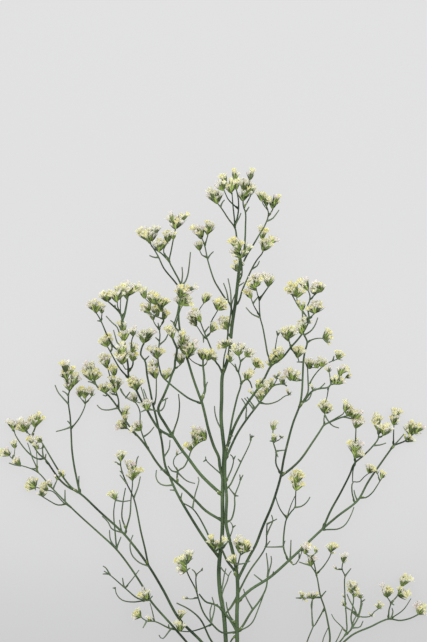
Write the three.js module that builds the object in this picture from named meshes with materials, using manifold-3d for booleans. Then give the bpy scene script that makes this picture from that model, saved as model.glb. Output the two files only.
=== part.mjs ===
// A cut stem of branched statice, lying on a table: millimetres, +Z up, flower end towards +Y.
import * as THREE from 'three';
import { mergeVertices } from 'three/addons/utils/BufferGeometryUtils.js';
import Module from 'manifold-3d';

// Driving dimensions
const STEM_LENGTH = 600;        // cut end to the topmost flower
const EYE_HEIGHT = 2500;        // the routes were read from this height above the table
const READING_HEIGHT = 30;      // a pixel is worth MM_PER_PIXEL at this height
const STEM_FOOT_HEIGHT = 2;     // the cut end of the stem lies on the table
const GAP = 0.3;                // clearance between neighbouring pieces
const HEAD_MOUTH = 2.3;         // radius of a flower head where its petals open
const LYING = HEAD_MOUTH + 0.4; // tip height of a twig whose heads lie on the table
const HEAD_FOOT = 0.8;          // radius of a flower head where it sits on its twig
const THICK = 0.95;             // foot radius from which a rod gets the sides of a stem
const TAPER = 0.6;              // tip radius of a rod for a foot radius of 1
const STEM_SIDES = 5;
const TWIG_SIDES = 4;
const HEAD_SIDES = 4;
const STEM_STEP = 24;           // length of one straight bit of a stem
const TWIG_STEP = 21;           // length of one straight bit of a twig
const WELD = 1e-4;              // corners of a mesh nearer than this are one
const LEAST_BODY = 0.8;         // share of a piece that must be left in one body
const STEM_COLOUR = '#4f6b47';
const SPRAY_COLOUR = '#b9bd6a';

// Places in the photograph that fix the scale and the frame, in its pixels
const TOP_PIXEL = 170;
const CUT_END_PIXEL = 920;
const EYE_PIXEL = [213.5, 321];
const MM_PER_PIXEL = STEM_LENGTH / (CUT_END_PIXEL - TOP_PIXEL);
const MIDDLE_PIXEL = (TOP_PIXEL + CUT_END_PIXEL) / 2;

// Each piece: name, what carries it, its rods and its flower heads. A rod is its foot radius, the
// height of its tip and its route in pixels, from foot to tip. It grows from the carrier or from an
// earlier rod of the piece, and rises evenly from there. A head is the pixel where it sits on its
// rod and the pixel where it opens.
const PIECES = [
  ['main_stem', null, [
    [2, 46, [[226, 920], [228, 850], [229, 780], [228.5, 710], [226.5, 660], [225.3, 635],
      [223.5, 613], [220, 593], [218.7, 573], [219.5, 558], [221.7, 540], [222.4, 521],
      [222.3, 500], [222.6, 487], [223.3, 465], [224, 450], [222.6, 436], [221, 418],
      [221.5, 400], [222.3, 375], [224.5, 369], [229, 354], [230.5, 340], [232, 325], [235, 305],
      [237, 288], [239, 270], [240, 262]]],
    [0.62, 32, [[221.5, 475.5], [213, 467], [206, 460], [205.5, 456.5]]],
    [0.9, 26, [[219, 657], [212, 642], [200.5, 619.5], [189.6, 609.7], [176.6, 603]]],
  ], []],
  ['second_stem', 'main_stem', [
    [1.75, 38, [[228.5, 712], [233, 695], [236, 668], [237, 642], [236.8, 613], [237.6, 594],
      [237, 576], [234.6, 561], [231.9, 549], [229, 538], [226, 524], [225.9, 513], [226.6, 500],
      [226, 490], [225, 476], [225, 463], [225.6, 453], [227.5, 445]]],
    [0.67, 30, [[226, 489], [229.5, 486], [235, 475], [241, 462], [250, 443], [252, 435]]],
    [0.67, 30, [[224.8, 483], [228.5, 476], [231.6, 469], [233.5, 458.5], [230.3, 454.5]]],
    [0.72, 28, [[227, 522], [230.5, 520.5], [233.3, 514], [234.8, 505], [234.8, 496],
      [238.5, 486], [240.3, 480], [239.7, 474.5]]],
    [1.1, 30, [[237, 577], [233.5, 569.5], [227, 561], [224, 554.5], [221.8, 549.5],
      [217.5, 545.5]]],
    [0.62, 26, [[222.5, 548.5], [225, 545.5], [228.5, 540.5], [231, 534], [233, 527], [230.5, 522]]],
    [1.1, 24, [[236.8, 597], [234, 602.5], [230.5, 608], [226.5, 612.5], [225, 616]]],
    [0.72, 20, [[237, 624], [231.5, 618.5], [228.5, 613], [226.8, 606.5], [226.3, 602]]],
    [0.67, 16, [[236.8, 627], [232, 622], [227, 617], [221.5, 611], [217, 604]]],
    [0.8, 14, [[236, 635], [233.5, 637.5], [230.5, 642], [227.5, 650]]],
    [0.8, 26, [[238, 594], [249.3, 571.7], [265.5, 547], [266.6, 533], [267, 524]]],
    [0.95, 22, [[237.5, 631], [241, 628], [251, 612], [260, 600], [266, 588], [267.5, 577]]],
    [0.62, 20, [[238, 632], [251, 624], [259, 607], [266, 588]]],
  ], []],
  ['branch_far_left', 'main_stem', [
    [1.2, 4, [[228, 700], [216, 660], [201.6, 642], [178.8, 618.4], [162.5, 589], [148, 565],
      [130, 541], [122, 532], [100, 512], [80, 493.5], [68, 487], [60, 480], [54, 472], [48, 463]]],
  ], [
    [180, 619, 183, 609]]],
  ['branch_low_left', 'main_stem', [
    [1.05, 15, [[228.8, 730], [216, 690], [200, 660], [186.4, 642], [173.4, 627], [150, 600],
      [143, 587], [130, 567], [116, 549], [97.6, 531.8], [80, 516], [70, 506.5]]],
  ], []],
  ['branch_mid_left', 'main_stem', [
    [1.05, 12, [[223, 521], [206, 511], [195, 500], [187, 492], [177, 483], [162, 469],
      [155, 460], [150, 452], [142, 441], [134, 432], [127, 423], [118, 408], [108, 395],
      [101, 390], [96, 385], [94, 378]]],
    [0.62, 10, [[137, 436], [131, 431], [126, 427.5]]],
    [0.52, 12, [[94.5, 380], [92.5, 374], [91.5, 370]]],
    [0.52, 13, [[95.5, 384], [91, 380], [88, 376]]],
  ], [
    [104, 392, 100, 386], [91, 380, 84, 369], [92, 374, 88, 359], [95, 379, 95, 364],
    [127, 428, 120, 422], [127, 420, 126, 414], [126, 415, 126, 407]]],
  ['branch_inner_left', 'main_stem', [
    [1.1, 54, [[219, 558], [206, 541], [193, 521], [180, 499], [174, 487], [169, 475], [165, 465],
      [161.5, 440], [158, 426], [155, 413], [152.5, 403], [150, 390], [147, 375], [145, 361],
      [140.7, 355], [142, 347], [144, 343]]],
    [0.62, 44, [[153, 406], [155.5, 400], [156.3, 390], [156.3, 376], [156.3, 368]]],
    [0.8, 33, [[217, 557], [214, 550], [206, 530], [193, 509], [183, 503]]],
  ], [
    [144, 343, 142, 330], [146, 341, 152, 329], [156, 378, 151, 371], [156, 368, 151, 363]]],
  ['branch_upper_left', 'main_stem', [
    [1.3, 62, [[222, 495], [213, 487], [200, 474], [188, 458], [181, 449], [174, 438], [165, 424],
      [158, 410], [164, 395], [169, 383], [171.5, 375], [174.5, 368], [175, 361], [176.5, 353],
      [177, 349], [174, 342], [172, 337]]],
    [0.57, 54, [[174.6, 369], [179, 366], [182, 363]]],
    [0.47, 64, [[177, 349], [180, 346.5], [182, 345]]],
    [0.72, 40, [[172.5, 435.5], [174, 430], [178, 418], [179.5, 405], [178.5, 394]]],
  ], [
    [173, 338, 169, 326], [182, 345, 180, 326], [181, 364, 177, 352]]],
  ['branch_outer_left', 'branch_upper_left', [
    [1, 66, [[173, 437.5], [160, 430], [152, 419], [147, 410], [141, 400], [136, 390], [131, 382],
      [128.5, 376], [128, 366], [126, 352], [124, 338], [123, 324]]],
  ], [
    [147, 409, 145, 401], [137, 390, 134, 386], [139, 387, 140, 378], [123, 341, 121, 330],
    [122, 332, 122, 320]]],
  ['branch_crown_left', 'main_stem', [
    [1.2, 66, [[221.5, 478], [219.8, 467], [218.6, 457], [214, 447], [208.5, 430], [205, 415],
      [202, 403], [199, 395], [193, 378], [187.5, 360], [184, 350], [182, 340], [179.5, 328],
      [178.5, 314], [180, 304]]],
    [0.62, 76, [[187, 359], [191, 353], [193, 350]]],
  ], [
    [184, 354, 182, 341], [190, 355, 192, 342]]],
  ['branch_right', 'second_stem', [
    [1.1, 46, [[238, 580], [249.3, 556.6], [255.8, 544.6], [263, 526], [270.9, 507.8], [276, 493],
      [280.5, 477], [283.5, 460], [287.5, 443], [293, 423], [300, 404], [302, 390], [302.7, 375],
      [303.5, 360], [305, 351], [307.2, 342], [304, 335], [302, 330]]],
    [0.62, 42, [[307.2, 343], [312, 339.7], [318, 338.3], [323.6, 338.4]]],
    [0.52, 44, [[302.7, 380], [296, 381], [291, 380]]],
  ], [
    [324, 338, 329, 331], [326, 339, 330, 341], [302, 331, 303, 321], [291, 380, 288, 367],
    [294, 380, 297, 372]]],
  ['branch_upper_right', 'second_stem', [
    [1.05, 68, [[227, 446], [234, 427], [240, 415], [246, 405], [254, 394], [264, 379],
      [271, 366], [282, 358], [291, 347], [298.6, 338.5], [304.4, 330.4], [309, 321]]],
    [0.62, 72, [[291, 347.5], [289, 341], [286.5, 337], [285.5, 331]]],
    [0.57, 60, [[273, 365], [274.5, 356], [275.5, 347], [277, 338], [278, 334]]],
    [0.62, 44, [[291.5, 348], [295, 354], [298, 358], [299, 362]]],
  ], [
    [290, 341, 283, 329], [291, 337, 295, 328], [299, 355, 296, 349], [302, 334, 297, 325],
    [304, 326, 303, 318], [279, 357, 276, 350], [260, 391, 258, 384], [262, 386, 263, 379],
    [253, 394, 250, 390]]],
  ['branch_far_right', 'second_stem', [
    [1.15, 6, [[237, 602], [250, 590], [269.9, 577.2], [288.3, 561], [305.8, 544.6],
      [323.1, 528.4], [339, 515], [354.6, 503.4], [359.5, 498], [368, 482], [381, 463],
      [392, 447.5]]],
    [0.62, 6, [[355, 503], [352, 492], [353, 482], [359, 482], [364, 477], [369, 473]]],
    [0.62, 18, [[359.5, 498], [366, 497.5], [372, 493], [380, 481], [382, 478]]],
    [0.57, 14, [[289.5, 560.5], [294, 565], [299, 559], [302.5, 550]]],
    [0.47, 14, [[380, 481], [378, 475], [377, 472]]],
    [0.62, 12, [[321, 529], [330, 529.5], [338, 529], [345, 525], [351, 515], [354, 507]]],
  ], [
    [369, 472, 370, 463], [377, 474, 377, 469], [381, 478, 383, 471], [303, 552, 303, 545]]],
  ['branch_rising_right', 'branch_far_right', [
    [0.9, 24, [[323, 528.4], [330, 512], [341, 492], [350, 474], [354, 464], [363, 456],
      [372, 447], [378.5, 438], [378, 431], [377, 423]]],
    [0.72, 32, [[355, 462], [354.8, 452], [355.5, 440], [356, 428]]],
    [0.57, 30, [[378.5, 437.5], [384, 435], [388, 432]]],
    [0.62, 22, [[354.5, 462], [353, 470], [352.5, 482]]],
  ], [
    [378, 430, 374, 414], [379, 434, 381, 425], [377, 425, 377, 412], [384, 436, 385, 427],
    [388, 432, 393, 430], [355, 455, 352, 440], [357, 458, 363, 447], [356, 428, 355, 420]]],
  ['branch_low_right', 'main_stem', [
    [1.2, 16, [[228.5, 800], [250, 765], [285, 710], [315, 666], [331, 647]]],
    [0.8, 14, [[285, 710], [300, 668], [307, 642], [313, 627]]],
  ], []],
  ['spray_crown', 'main_stem', [
    [0.8, 62, [[240, 262], [238, 250], [236.5, 236], [235, 228], [228.5, 219], [222, 209],
      [216.5, 202]]],
    [0.67, 72, [[235, 228], [234.5, 220], [233, 206], [232, 193]]],
    [0.67, 66, [[235.5, 226], [238, 214], [238.5, 201], [236.5, 190], [235.5, 186], [235, 180]]],
    [0.62, 76, [[238, 209], [232.6, 204], [228, 199], [224, 190]]],
    [0.77, 56, [[239.5, 259], [243.5, 252], [245, 240], [245.5, 226], [245.5, 212.5],
      [243.3, 206], [243.5, 190]]],
    [0.62, 52, [[244, 208], [249, 199], [252, 193]]],
    [0.57, 74, [[231.5, 194], [229, 189], [226, 183], [224.5, 180]]],
    [0.47, 60, [[244.5, 192], [249, 186], [250, 180]]],
  ], [
    [217, 204, 207, 189], [218, 203, 221, 189], [223, 190, 215.5, 181], [226, 183, 223, 174],
    [232, 192, 228, 183], [235, 188, 238, 182], [235.5, 180, 236, 170], [243, 188, 243.5, 176],
    [250, 180, 251, 170], [243, 201, 240, 190], [246, 198, 254.5, 184]]],
  ['spray_top_right', 'main_stem', [
    [0.77, 42, [[239, 272], [247, 255], [253.5, 244.5], [258.5, 236], [265.5, 224], [268.5, 214],
      [266.5, 206]]],
    [0.62, 46, [[268, 216], [272.7, 209.6], [274, 205]]],
    [0.52, 48, [[266.5, 210], [263, 204], [262, 201]]],
  ], [
    [262, 201, 258.5, 190], [266.5, 206, 266.5, 193], [272, 208, 272, 197]]],
  ['spray_right_of_top', 'main_stem', [
    [0.77, 32, [[235.5, 305.5], [239, 301], [242, 291], [244.5, 285], [247, 279.5],
      [251.5, 269.5], [255, 263], [258, 258.5], [263, 251.5], [262, 239]]],
  ], [
    [262, 240, 263.5, 226], [263.5, 251, 266, 238], [264, 251, 277, 237]]],
  ['spray_left_of_top', 'main_stem', [
    [0.77, 30, [[232.5, 318], [230, 304], [225.3, 298.5], [219.8, 290], [214.5, 281], [210, 268],
      [207.5, 259], [204.5, 245], [201, 236]]],
    [0.62, 34, [[204.8, 246], [206.5, 240], [208.4, 233]]],
    [0.57, 24, [[206.5, 258], [202, 255], [199.5, 250]]],
  ], [
    [201, 239, 194, 225], [208, 235, 206, 224], [199, 250, 197, 241]]],
  ['spray_over_axis', 'main_stem', [
    [0.72, 62, [[239, 284], [241.5, 276], [242, 268], [240.5, 256], [239, 250]]],
    [0.52, 56, [[241.5, 275], [237, 271]]],
  ], [
    [238, 252, 237, 237], [240, 257, 230, 249], [241, 258, 252, 244], [236, 270, 232, 262],
    [243, 266, 245, 262]]],
  ['spray_shoulder_left', 'branch_crown_left', [
    [0.77, 46, [[179, 305], [180, 290], [175.8, 283], [164, 268.5], [158, 256], [149, 242],
      [145, 239]]],
  ], [
    [144, 241, 138, 228]]],
  ['spray_shoulder_right', 'branch_crown_left', [
    [0.77, 84, [[180, 302], [182, 290], [179.7, 281.7], [173.6, 270], [169.4, 261], [171, 251.5],
      [173, 241], [175.5, 229]]],
    [0.67, 66, [[169.6, 262], [165, 257], [161, 253], [152, 247], [150.5, 243]]],
    [0.57, 74, [[165.5, 258], [163.5, 250], [168, 242]]],
  ], [
    [175.5, 228, 169, 212], [177, 226, 181, 213], [168, 242, 167, 232], [173, 239, 174, 232],
    [159, 250, 157, 239], [151, 243, 148, 228], [154, 240, 158, 225]]],
  ['spray_left_a', 'branch_outer_left', [
    [0.72, 50, [[126, 353], [121, 351.5], [116.2, 349], [112, 344.4], [106.6, 334], [101, 321],
      [97, 314], [93, 309.5]]],
    [0.52, 44, [[101.5, 321], [102, 313], [102, 308]]],
  ], [
    [92, 309, 87, 302], [97, 312, 97, 303], [102, 313, 102, 305]]],
  ['spray_left_b', 'branch_outer_left', [
    [0.95, 72, [[123, 326], [122, 318], [120.4, 313.6], [116.2, 308.8], [107.5, 301]]],
    [0.57, 78, [[120.5, 314], [117.5, 306], [117.5, 300]]],
    [0.95, 66, [[122, 319], [124.2, 315], [126, 307], [128, 296]]],
    [0.47, 76, [[121, 313], [120.5, 303], [121, 294]]],
  ], [
    [127, 298, 125, 285], [130, 296, 137, 282], [121, 294, 121, 285], [116, 302, 113, 292],
    [107, 301, 101, 292]]],
  ['spray_left_c', 'branch_outer_left', [
    [0.72, 52, [[128.5, 379], [121, 370], [114.6, 359.7], [110, 351], [107, 346]]],
    [0.52, 50, [[110.5, 352], [112.5, 347]]],
  ], [
    [106, 347, 101, 339], [112, 348, 113, 342]]],
  ['spray_left_d', 'branch_outer_left', [
    [0.72, 78, [[128.5, 372], [132.5, 366], [133, 358], [131.5, 345], [132, 339], [134, 335]]],
    [0.57, 84, [[131, 368], [126, 369.5], [122.5, 364]]],
  ], [
    [133, 336, 132, 326], [121, 363, 117, 353], [124, 360, 119, 342], [125, 360, 127, 352],
    [132, 361, 131, 352], [133, 352, 135, 343]]],
  ['spray_arc', 'branch_crown_left', [
    [0.77, 50, [[202, 403.5], [190, 399], [180, 392], [169, 383], [162, 376], [160, 370],
      [158, 360], [158.5, 350], [160, 335], [159.5, 328.5], [162.5, 323]]],
    [0.57, 56, [[159.5, 330], [154, 322.5], [153, 318]]],
    [0.62, 66, [[162.3, 324], [164.5, 316], [160, 308], [156, 302]]],
    [0.52, 74, [[160.5, 309], [166.5, 302]]],
    [0.52, 64, [[157, 304], [149, 302], [145, 298]]],
    [0.52, 60, [[162, 318], [156, 316.5], [152, 314.5], [149, 311]]],
  ], [
    [145, 298, 142, 290], [149, 312, 143, 303], [153, 305, 149, 293], [160, 303, 159, 293],
    [161, 310, 162, 297], [159, 314, 155, 305], [164, 320, 166, 309], [153, 320, 152, 312],
    [157, 359, 151, 346], [158.5, 357, 162, 350], [165, 379, 166, 370]]],
  ['spray_centre_left', 'branch_crown_left', [
    [0.67, 78, [[180, 332], [174.5, 326], [177, 315], [179, 304], [180.5, 298], [182, 296]]],
    [0.57, 74, [[175, 327], [178, 317], [181, 308], [183, 305]]],
  ], [
    [181, 298, 179, 283], [183, 298, 188, 288], [181, 306, 177, 297], [183, 306, 188, 295]]],
  ['spray_centre_a', 'branch_crown_left', [
    [1.1, 44, [[202, 400], [205, 390], [204.5, 385], [204, 375], [203, 366], [203, 359]]],
    [0.52, 46, [[203, 366], [206, 364], [207.5, 360]]],
    [0.52, 50, [[203, 366], [196, 363.5], [191, 360], [187.5, 356]]],
  ], [
    [203, 360, 200, 348], [207.5, 360, 210, 350]]],
  ['spray_centre_b', 'main_stem', [
    [0.8, 36, [[222, 374], [219, 366], [215.5, 361.5], [211, 348.5], [208, 341], [205, 334],
      [203, 329], [200.5, 322]]],
    [0.62, 44, [[206, 337], [211, 331.5], [211.5, 321.5], [215, 315], [218, 310]]],
    [0.62, 28, [[207, 339], [203.5, 336], [200, 331], [196.5, 325.5]]],
    [0.52, 30, [[200.5, 322], [197.5, 314], [201, 307], [204, 303], [206, 301]]],
  ], [
    [199, 322, 195, 313], [218, 310, 216, 298], [220, 308, 228, 304], [212, 331, 213, 323],
    [204, 303, 205, 294], [214, 361, 218, 357]]],
  ['spray_centre_c', 'main_stem', [
    [0.72, 50, [[223, 372], [224, 358], [226.5, 347]]],
    [0.72, 54, [[226.5, 347], [227.6, 336.7], [228.6, 326.4], [230.2, 317.4], [232, 303],
      [236, 292]]],
  ], [
    [226, 347, 217, 343], [227, 346, 229, 339]]],
  ['spray_centre_d', 'main_stem', [
    [0.62, 38, [[230.5, 338], [228, 333], [227, 328]]],
  ], [
    [226, 328, 220, 317], [227, 327, 230, 319]]],
  ['spray_centre_right', 'second_stem', [
    [0.9, 62, [[227, 452], [229.5, 435], [232, 420], [237, 398], [241, 384], [239.5, 375],
      [238.5, 372.5], [240.5, 362], [238.5, 355]]],
    [0.8, 44, [[241, 384], [244, 380.5], [247, 379], [250, 382], [252, 388]]],
    [0.57, 58, [[241, 362], [246, 356.5]]],
    [0.52, 50, [[247, 379], [252, 373], [256, 367]]],
    [0.52, 52, [[238.5, 372.5], [235, 367], [230, 362]]],
  ], [
    [238, 354, 234, 347], [240, 355, 243, 342], [246, 356, 247, 349], [246, 379, 246, 373],
    [256, 367, 255, 358], [256, 367, 263, 364], [229, 362, 228, 354]]],
  ['spray_right_heads', 'branch_upper_right', [
    [0.72, 74, [[271, 367], [270, 360], [267.8, 354.7], [265.3, 341], [262.7, 327], [260.5, 319],
      [259.5, 310], [259.2, 298]]],
    [0.57, 66, [[259.6, 316], [254, 306], [251, 298]]],
    [0.75, 80, [[259.3, 300], [264, 293], [269, 286]]],
    [0.52, 82, [[259.3, 300], [258, 296], [256.5, 290], [256, 286]]],
  ], [
    [256, 290, 247, 281], [256, 287, 261, 276], [251, 298, 245, 288], [268, 286, 265, 272],
    [273, 366, 268, 360], [270, 364, 279, 359]]],
  ['spray_high_right_a', 'branch_upper_right', [
    [0.72, 60, [[309, 321], [303, 311.5], [299, 307], [296, 302], [291, 293]]],
    [0.52, 64, [[299, 306], [297, 300], [296.5, 295]]],
  ], [
    [297, 296, 286, 285], [297, 297, 301, 290], [303, 310, 302, 300]]],
  ['spray_high_right_b', 'branch_upper_right', [
    [0.72, 80, [[308, 323], [309, 317], [308, 311], [307.5, 306], [309.5, 301], [310, 296],
      [308, 290]]],
    [0.57, 84, [[310, 300], [317, 293], [322, 291]]],
    [0.62, 74, [[309.4, 319], [315, 313]]],
  ], [
    [308, 290, 300, 279], [314, 293, 311, 287], [322, 291, 313, 289], [320, 291, 319, 281],
    [315, 313, 308, 304], [316, 311, 320, 301], [308, 323, 313, 322]]],
  ['spray_plume_a', 'branch_right', [
    [0.77, 34, [[299.5, 405], [304, 400], [308, 392], [308, 380], [307.5, 367]]],
    [0.47, 30, [[307.5, 368], [312, 367.5], [318, 368]]],
    [0.57, 26, [[308, 386], [314, 376], [322, 367], [330, 362], [338, 359]]],
  ], [
    [309, 366, 308, 360], [316, 368, 315, 362], [322, 367, 320, 361], [340, 359, 338, 352]]],
  ['spray_plume_b', 'branch_right', [
    [0.9, 52, [[298.5, 407], [306, 398.5], [312.4, 391], [320, 388.5], [328, 387.5], [331, 384.5],
      [340, 384]]],
    [0.57, 48, [[331, 384.5], [330, 377], [329, 371]]],
    [0.57, 44, [[336, 383], [342, 381], [346, 377.5]]],
    [0.52, 38, [[329, 387.5], [327, 397], [325.5, 402]]],
    [0.52, 52, [[336, 384], [338, 379], [340, 376], [341, 372]]],
  ], [
    [329, 372, 327, 366], [334, 384, 334, 376], [338, 384, 344, 380], [340, 376, 341, 367],
    [346, 378, 352, 376], [313, 390, 313.5, 385]]],
  ['spray_outer_right', 'branch_right', [
    [0.95, 34, [[281, 476], [288, 471], [300, 460], [312, 443], [320, 431], [324, 425],
      [330, 422], [337, 419], [343, 417], [349, 418], [355, 420]]],
    [0.62, 26, [[324, 425], [324, 418], [325, 413]]],
    [0.62, 34, [[330, 421.5], [338, 417], [343, 414], [345.5, 409]]],
    [0.52, 30, [[343, 417], [346, 416], [349, 416]]],
  ], [
    [325, 413, 322, 402], [327, 413, 333, 406], [345, 411, 349, 401], [348, 416, 347, 408],
    [352, 418, 357, 410]]],
  ['spray_low_centre_a', 'branch_right', [
    [0.72, 22, [[280.5, 474], [276, 464], [276, 452], [273, 441], [273, 430]]],
    [0.47, 14, [[274.5, 442], [279, 440], [281, 438]]],
  ], [
    [273, 430, 273, 421], [274, 441, 274, 434], [281, 438, 280, 434]]],
  ['spray_low_centre_b', 'second_stem', [
    [0.95, 32, [[227.4, 460], [237, 434], [246.4, 419.7], [259.6, 402.6], [267, 393], [273, 386],
      [277, 384.5], [283.4, 384], [287, 386]]],
    [0.62, 18, [[259.6, 403], [268, 404], [278, 401], [285, 396], [289, 395]]],
    [0.52, 22, [[273, 386], [276, 381], [277.5, 378]]],
  ], [
    [277, 379, 275, 375], [272, 386, 269, 380], [282, 384, 281, 377], [289, 395, 289, 389],
    [261, 399, 257, 393], [266, 394, 263, 388]]],
  ['spray_far_right', 'branch_far_right', [
    [0.72, LYING, [[391, 449], [393, 446], [405, 441], [412, 435], [418, 431]]],
    [0.62, 8, [[393.5, 445.5], [393.5, 436], [394, 425]]],
    [0.47, 9, [[394, 425], [395.5, 416]]],
    [0.52, LYING, [[405, 441], [410, 441.5]]],
  ], [
    [394, 425, 392, 415], [395, 416, 394, 408], [406, 440, 406, 435], [409, 434, 408, 419],
    [417, 431, 424, 431], [414, 431, 417, 424]]],
  ['spray_under_right', 'branch_far_right', [
    [0.72, 30, [[288, 560], [284, 550], [283.5, 540], [285, 525], [286.5, 519], [291, 512],
      [295, 507], [295.5, 497], [296, 490], [297, 482]]],
    [0.57, 22, [[286, 518], [280, 509], [276, 498], [275.5, 494]]],
    [0.52, 26, [[286.5, 519], [291, 505], [295, 496]]],
  ], [
    [296, 490, 294, 480], [297, 484, 298, 474]]],
  ['spray_far_left_a', 'branch_far_left', [
    [0.72, LYING, [[49, 464.5], [45, 459], [40, 455], [36, 450], [33, 444], [31, 436], [25, 431]]],
    [0.8, 6, [[31, 437], [34.7, 429], [36.5, 423]]],
    [0.67, 10, [[44, 458.5], [38, 459], [31, 455], [23.3, 447], [15, 434], [13.5, 428]]],
  ], [
    [22, 431, 16, 420], [24, 430, 28, 422], [35, 427, 34, 420], [36, 426, 41, 413],
    [14, 429, 8, 418], [33, 444, 29, 437]]],
  ['spray_far_left_b', 'branch_far_left', [
    [0.85, 14, [[78, 492.5], [71, 487], [63, 477], [57, 468], [49.9, 456], [43.4, 445], [40, 440]]],
    [0.42, 10, [[44, 447], [40, 449], [38, 449]]],
    [0.47, 10, [[60, 475], [58, 480]]],
  ], [
    [40, 442, 37, 437], [38, 450, 36, 443], [60, 475, 60, 469], [58, 481, 56, 474]]],
  ['spray_low_left', 'branch_low_left', [
    [0.67, 12, [[71, 507.3], [67, 503.5], [51, 487], [37.4, 472], [21.7, 465.7], [13, 464.5]]],
    [0.62, 9, [[67, 504], [58, 505], [48, 500], [40, 495]]],
    [0.57, 20, [[37.8, 472.5], [36, 466], [32, 457], [29, 447], [27.5, 443]]],
    [0.52, 16, [[36.5, 470], [37, 460], [36.5, 452]]],
    [0.52, 6, [[70, 506.5], [64, 503], [52, 491], [45, 490.5], [39, 488], [35, 487]]],
    [0.47, 6, [[20, 465], [17, 461], [12, 458.5], [9, 455]]],
    [0.42, 6, [[12, 458.5], [14, 457], [14.5, 452], [15, 448]]],
  ], [
    [20, 464, 14, 460], [15, 448, 16, 442], [9, 456, 5, 449], [35, 487, 30, 480],
    [50, 488, 47, 480], [46, 492, 45, 488], [41, 495, 38, 493]]],
  ['spray_tall_left', 'branch_far_left', [
    [0.85, 22, [[80, 493.5], [77, 480], [74, 465], [72, 450], [71, 430], [70, 415], [68.5, 404],
      [69, 392], [71, 389], [75, 384], [79, 378]]],
    [0.62, 26, [[69.3, 391], [67, 382], [62, 374]]],
    [0.62, 5, [[71, 429], [80, 417], [85.6, 403.3], [85, 397]]],
    [0.52, 7, [[85.5, 404], [79, 396]]],
    [0.52, 7, [[85.7, 403], [92, 396]]],
    [0.52, 28, [[67.5, 384], [66.5, 378], [66, 372]]],
    [0.52, 25, [[72, 387], [71.5, 380], [71, 374]]],
  ], [
    [66, 378, 60, 370], [66, 372, 65, 361], [71, 374, 71, 366], [69, 381, 68, 376],
    [74, 385, 79, 374], [68, 390, 65, 383], [79, 396, 77, 391], [84, 397, 82, 390],
    [92, 396, 91, 389]]],
  ['spray_under_left', 'branch_mid_left', [
    [0.72, 24, [[177.5, 483], [178, 471], [184, 467], [188.5, 458], [191.5, 450], [196, 445],
      [202, 441], [206, 440]]],
    [0.52, 22, [[178, 471], [173.5, 464], [174, 459], [177, 455], [183, 452]]],
  ], [
    [190, 450, 187, 444], [195, 447, 194, 441], [196, 446, 195, 425], [206, 440, 201, 427],
    [177, 456, 179, 451], [183, 453, 184, 449]]],
  ['spray_mid_left_a', 'branch_mid_left', [
    [0.67, 24, [[118.5, 409], [118.5, 400], [116, 392], [112, 383], [108.5, 371], [106.5, 363]]],
    [0.47, 22, [[113, 386], [114, 380], [115, 374]]],
    [0.42, 22, [[116, 392], [118, 385]]],
    [0.47, 20, [[117, 396], [109, 392]]],
  ], [
    [115, 393, 111, 388], [116, 391, 118, 380], [106, 368, 103, 354], [115, 376, 114, 363],
    [113, 384, 111, 375], [118, 385, 119, 378]]],
  ['spray_mid_left_b', 'branch_mid_left', [
    [0.62, 34, [[149, 451], [144, 439], [141, 430], [140, 423], [139.8, 411], [135, 402],
      [126, 397], [120, 388]]],
  ], [
    [138, 430, 132, 426], [135, 402, 132, 396]]],
  ['spray_low_tall_left', 'branch_far_left', [
    [0.8, 30, [[148.5, 565], [145.3, 550], [141, 532], [134, 499], [127, 484], [122.5, 473],
      [120.5, 464], [121, 459]]],
    [0.52, 26, [[120.5, 465], [116, 462]]],
  ], [
    [121, 461, 119, 452], [116, 463, 114, 461]]],
  ['spray_low_pair_left', 'branch_far_left', [
    [0.72, 15, [[124.5, 535], [127, 526], [130, 515], [131, 499], [132.5, 483], [132, 478]]],
    [0.67, 17, [[126, 529], [122, 518], [123, 502], [125.5, 488]]],
    [0.52, 13, [[132, 478], [129.5, 470], [125, 462]]],
    [0.47, 16, [[132.5, 481], [134, 476], [134, 471]]],
  ], [
    [130, 469, 129.5, 460], [133, 474, 131, 470], [133, 480, 129, 474]]],
  ['spray_low_single_left', 'branch_low_left', [
    [0.67, 30, [[117, 549.5], [115, 531], [113.7, 512], [115.5, 499]]],
  ], [
    [116, 499, 112, 492]]],
  ['spray_hook_left', 'branch_low_left', [
    [0.67, 26, [[150, 600], [146, 600], [138, 598.5], [125, 588], [110, 575], [104, 571]]],
    [0.62, 8, [[147, 600], [133, 602], [122, 600], [116.5, 594], [115, 587]]],
    [0.52, 22, [[125, 588], [134, 577], [139, 570]]],
  ], [
    [147, 599, 142, 593]]],
  ['spray_foot_left', 'branch_low_left', [
    [0.67, 14, [[175.5, 629.5], [170, 628.5], [155, 621.5], [147, 621], [141, 617], [139, 614]]],
    [0.52, 20, [[154.5, 621.5], [152, 610], [150, 603]]],
  ], [
    [140, 617, 135, 608], [139, 618, 132, 617], [150, 621, 148, 616]]],
  ['spray_left_of_foot', 'second_stem', [
    [0.8, 44, [[237.3, 632], [222, 632.5], [213, 625], [203.7, 613], [198, 597], [196, 590],
      [186.4, 569.6], [187, 560]]],
    [0.62, 42, [[197, 592], [196.5, 575], [202, 570]]],
    [0.52, 34, [[197.5, 598], [190, 599], [187, 598]]],
    [0.67, 20, [[212, 624], [203, 628], [190, 631.5], [179, 631]]],
    [1, 29, [[237.3, 624], [228, 617], [219, 607], [213, 604], [206, 602], [199, 594]]],
    [0.47, 44, [[187.4, 564], [190, 560]]],
  ], [
    [187, 566, 177, 562], [188, 561, 189, 552], [187, 570, 177, 573], [188, 599, 184, 597],
    [180, 631, 178, 622]]],
  ['spray_foot_main', 'main_stem', [
    [0.72, 38, [[219.5, 557], [216, 553], [214, 547], [213, 543]]],
    [0.62, 34, [[215.5, 552], [219, 548], [220.5, 545]]],
  ], [
    [213, 547, 210, 537], [220, 547, 221, 538]]],
  ['spray_foot_second', 'second_stem', [
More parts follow.
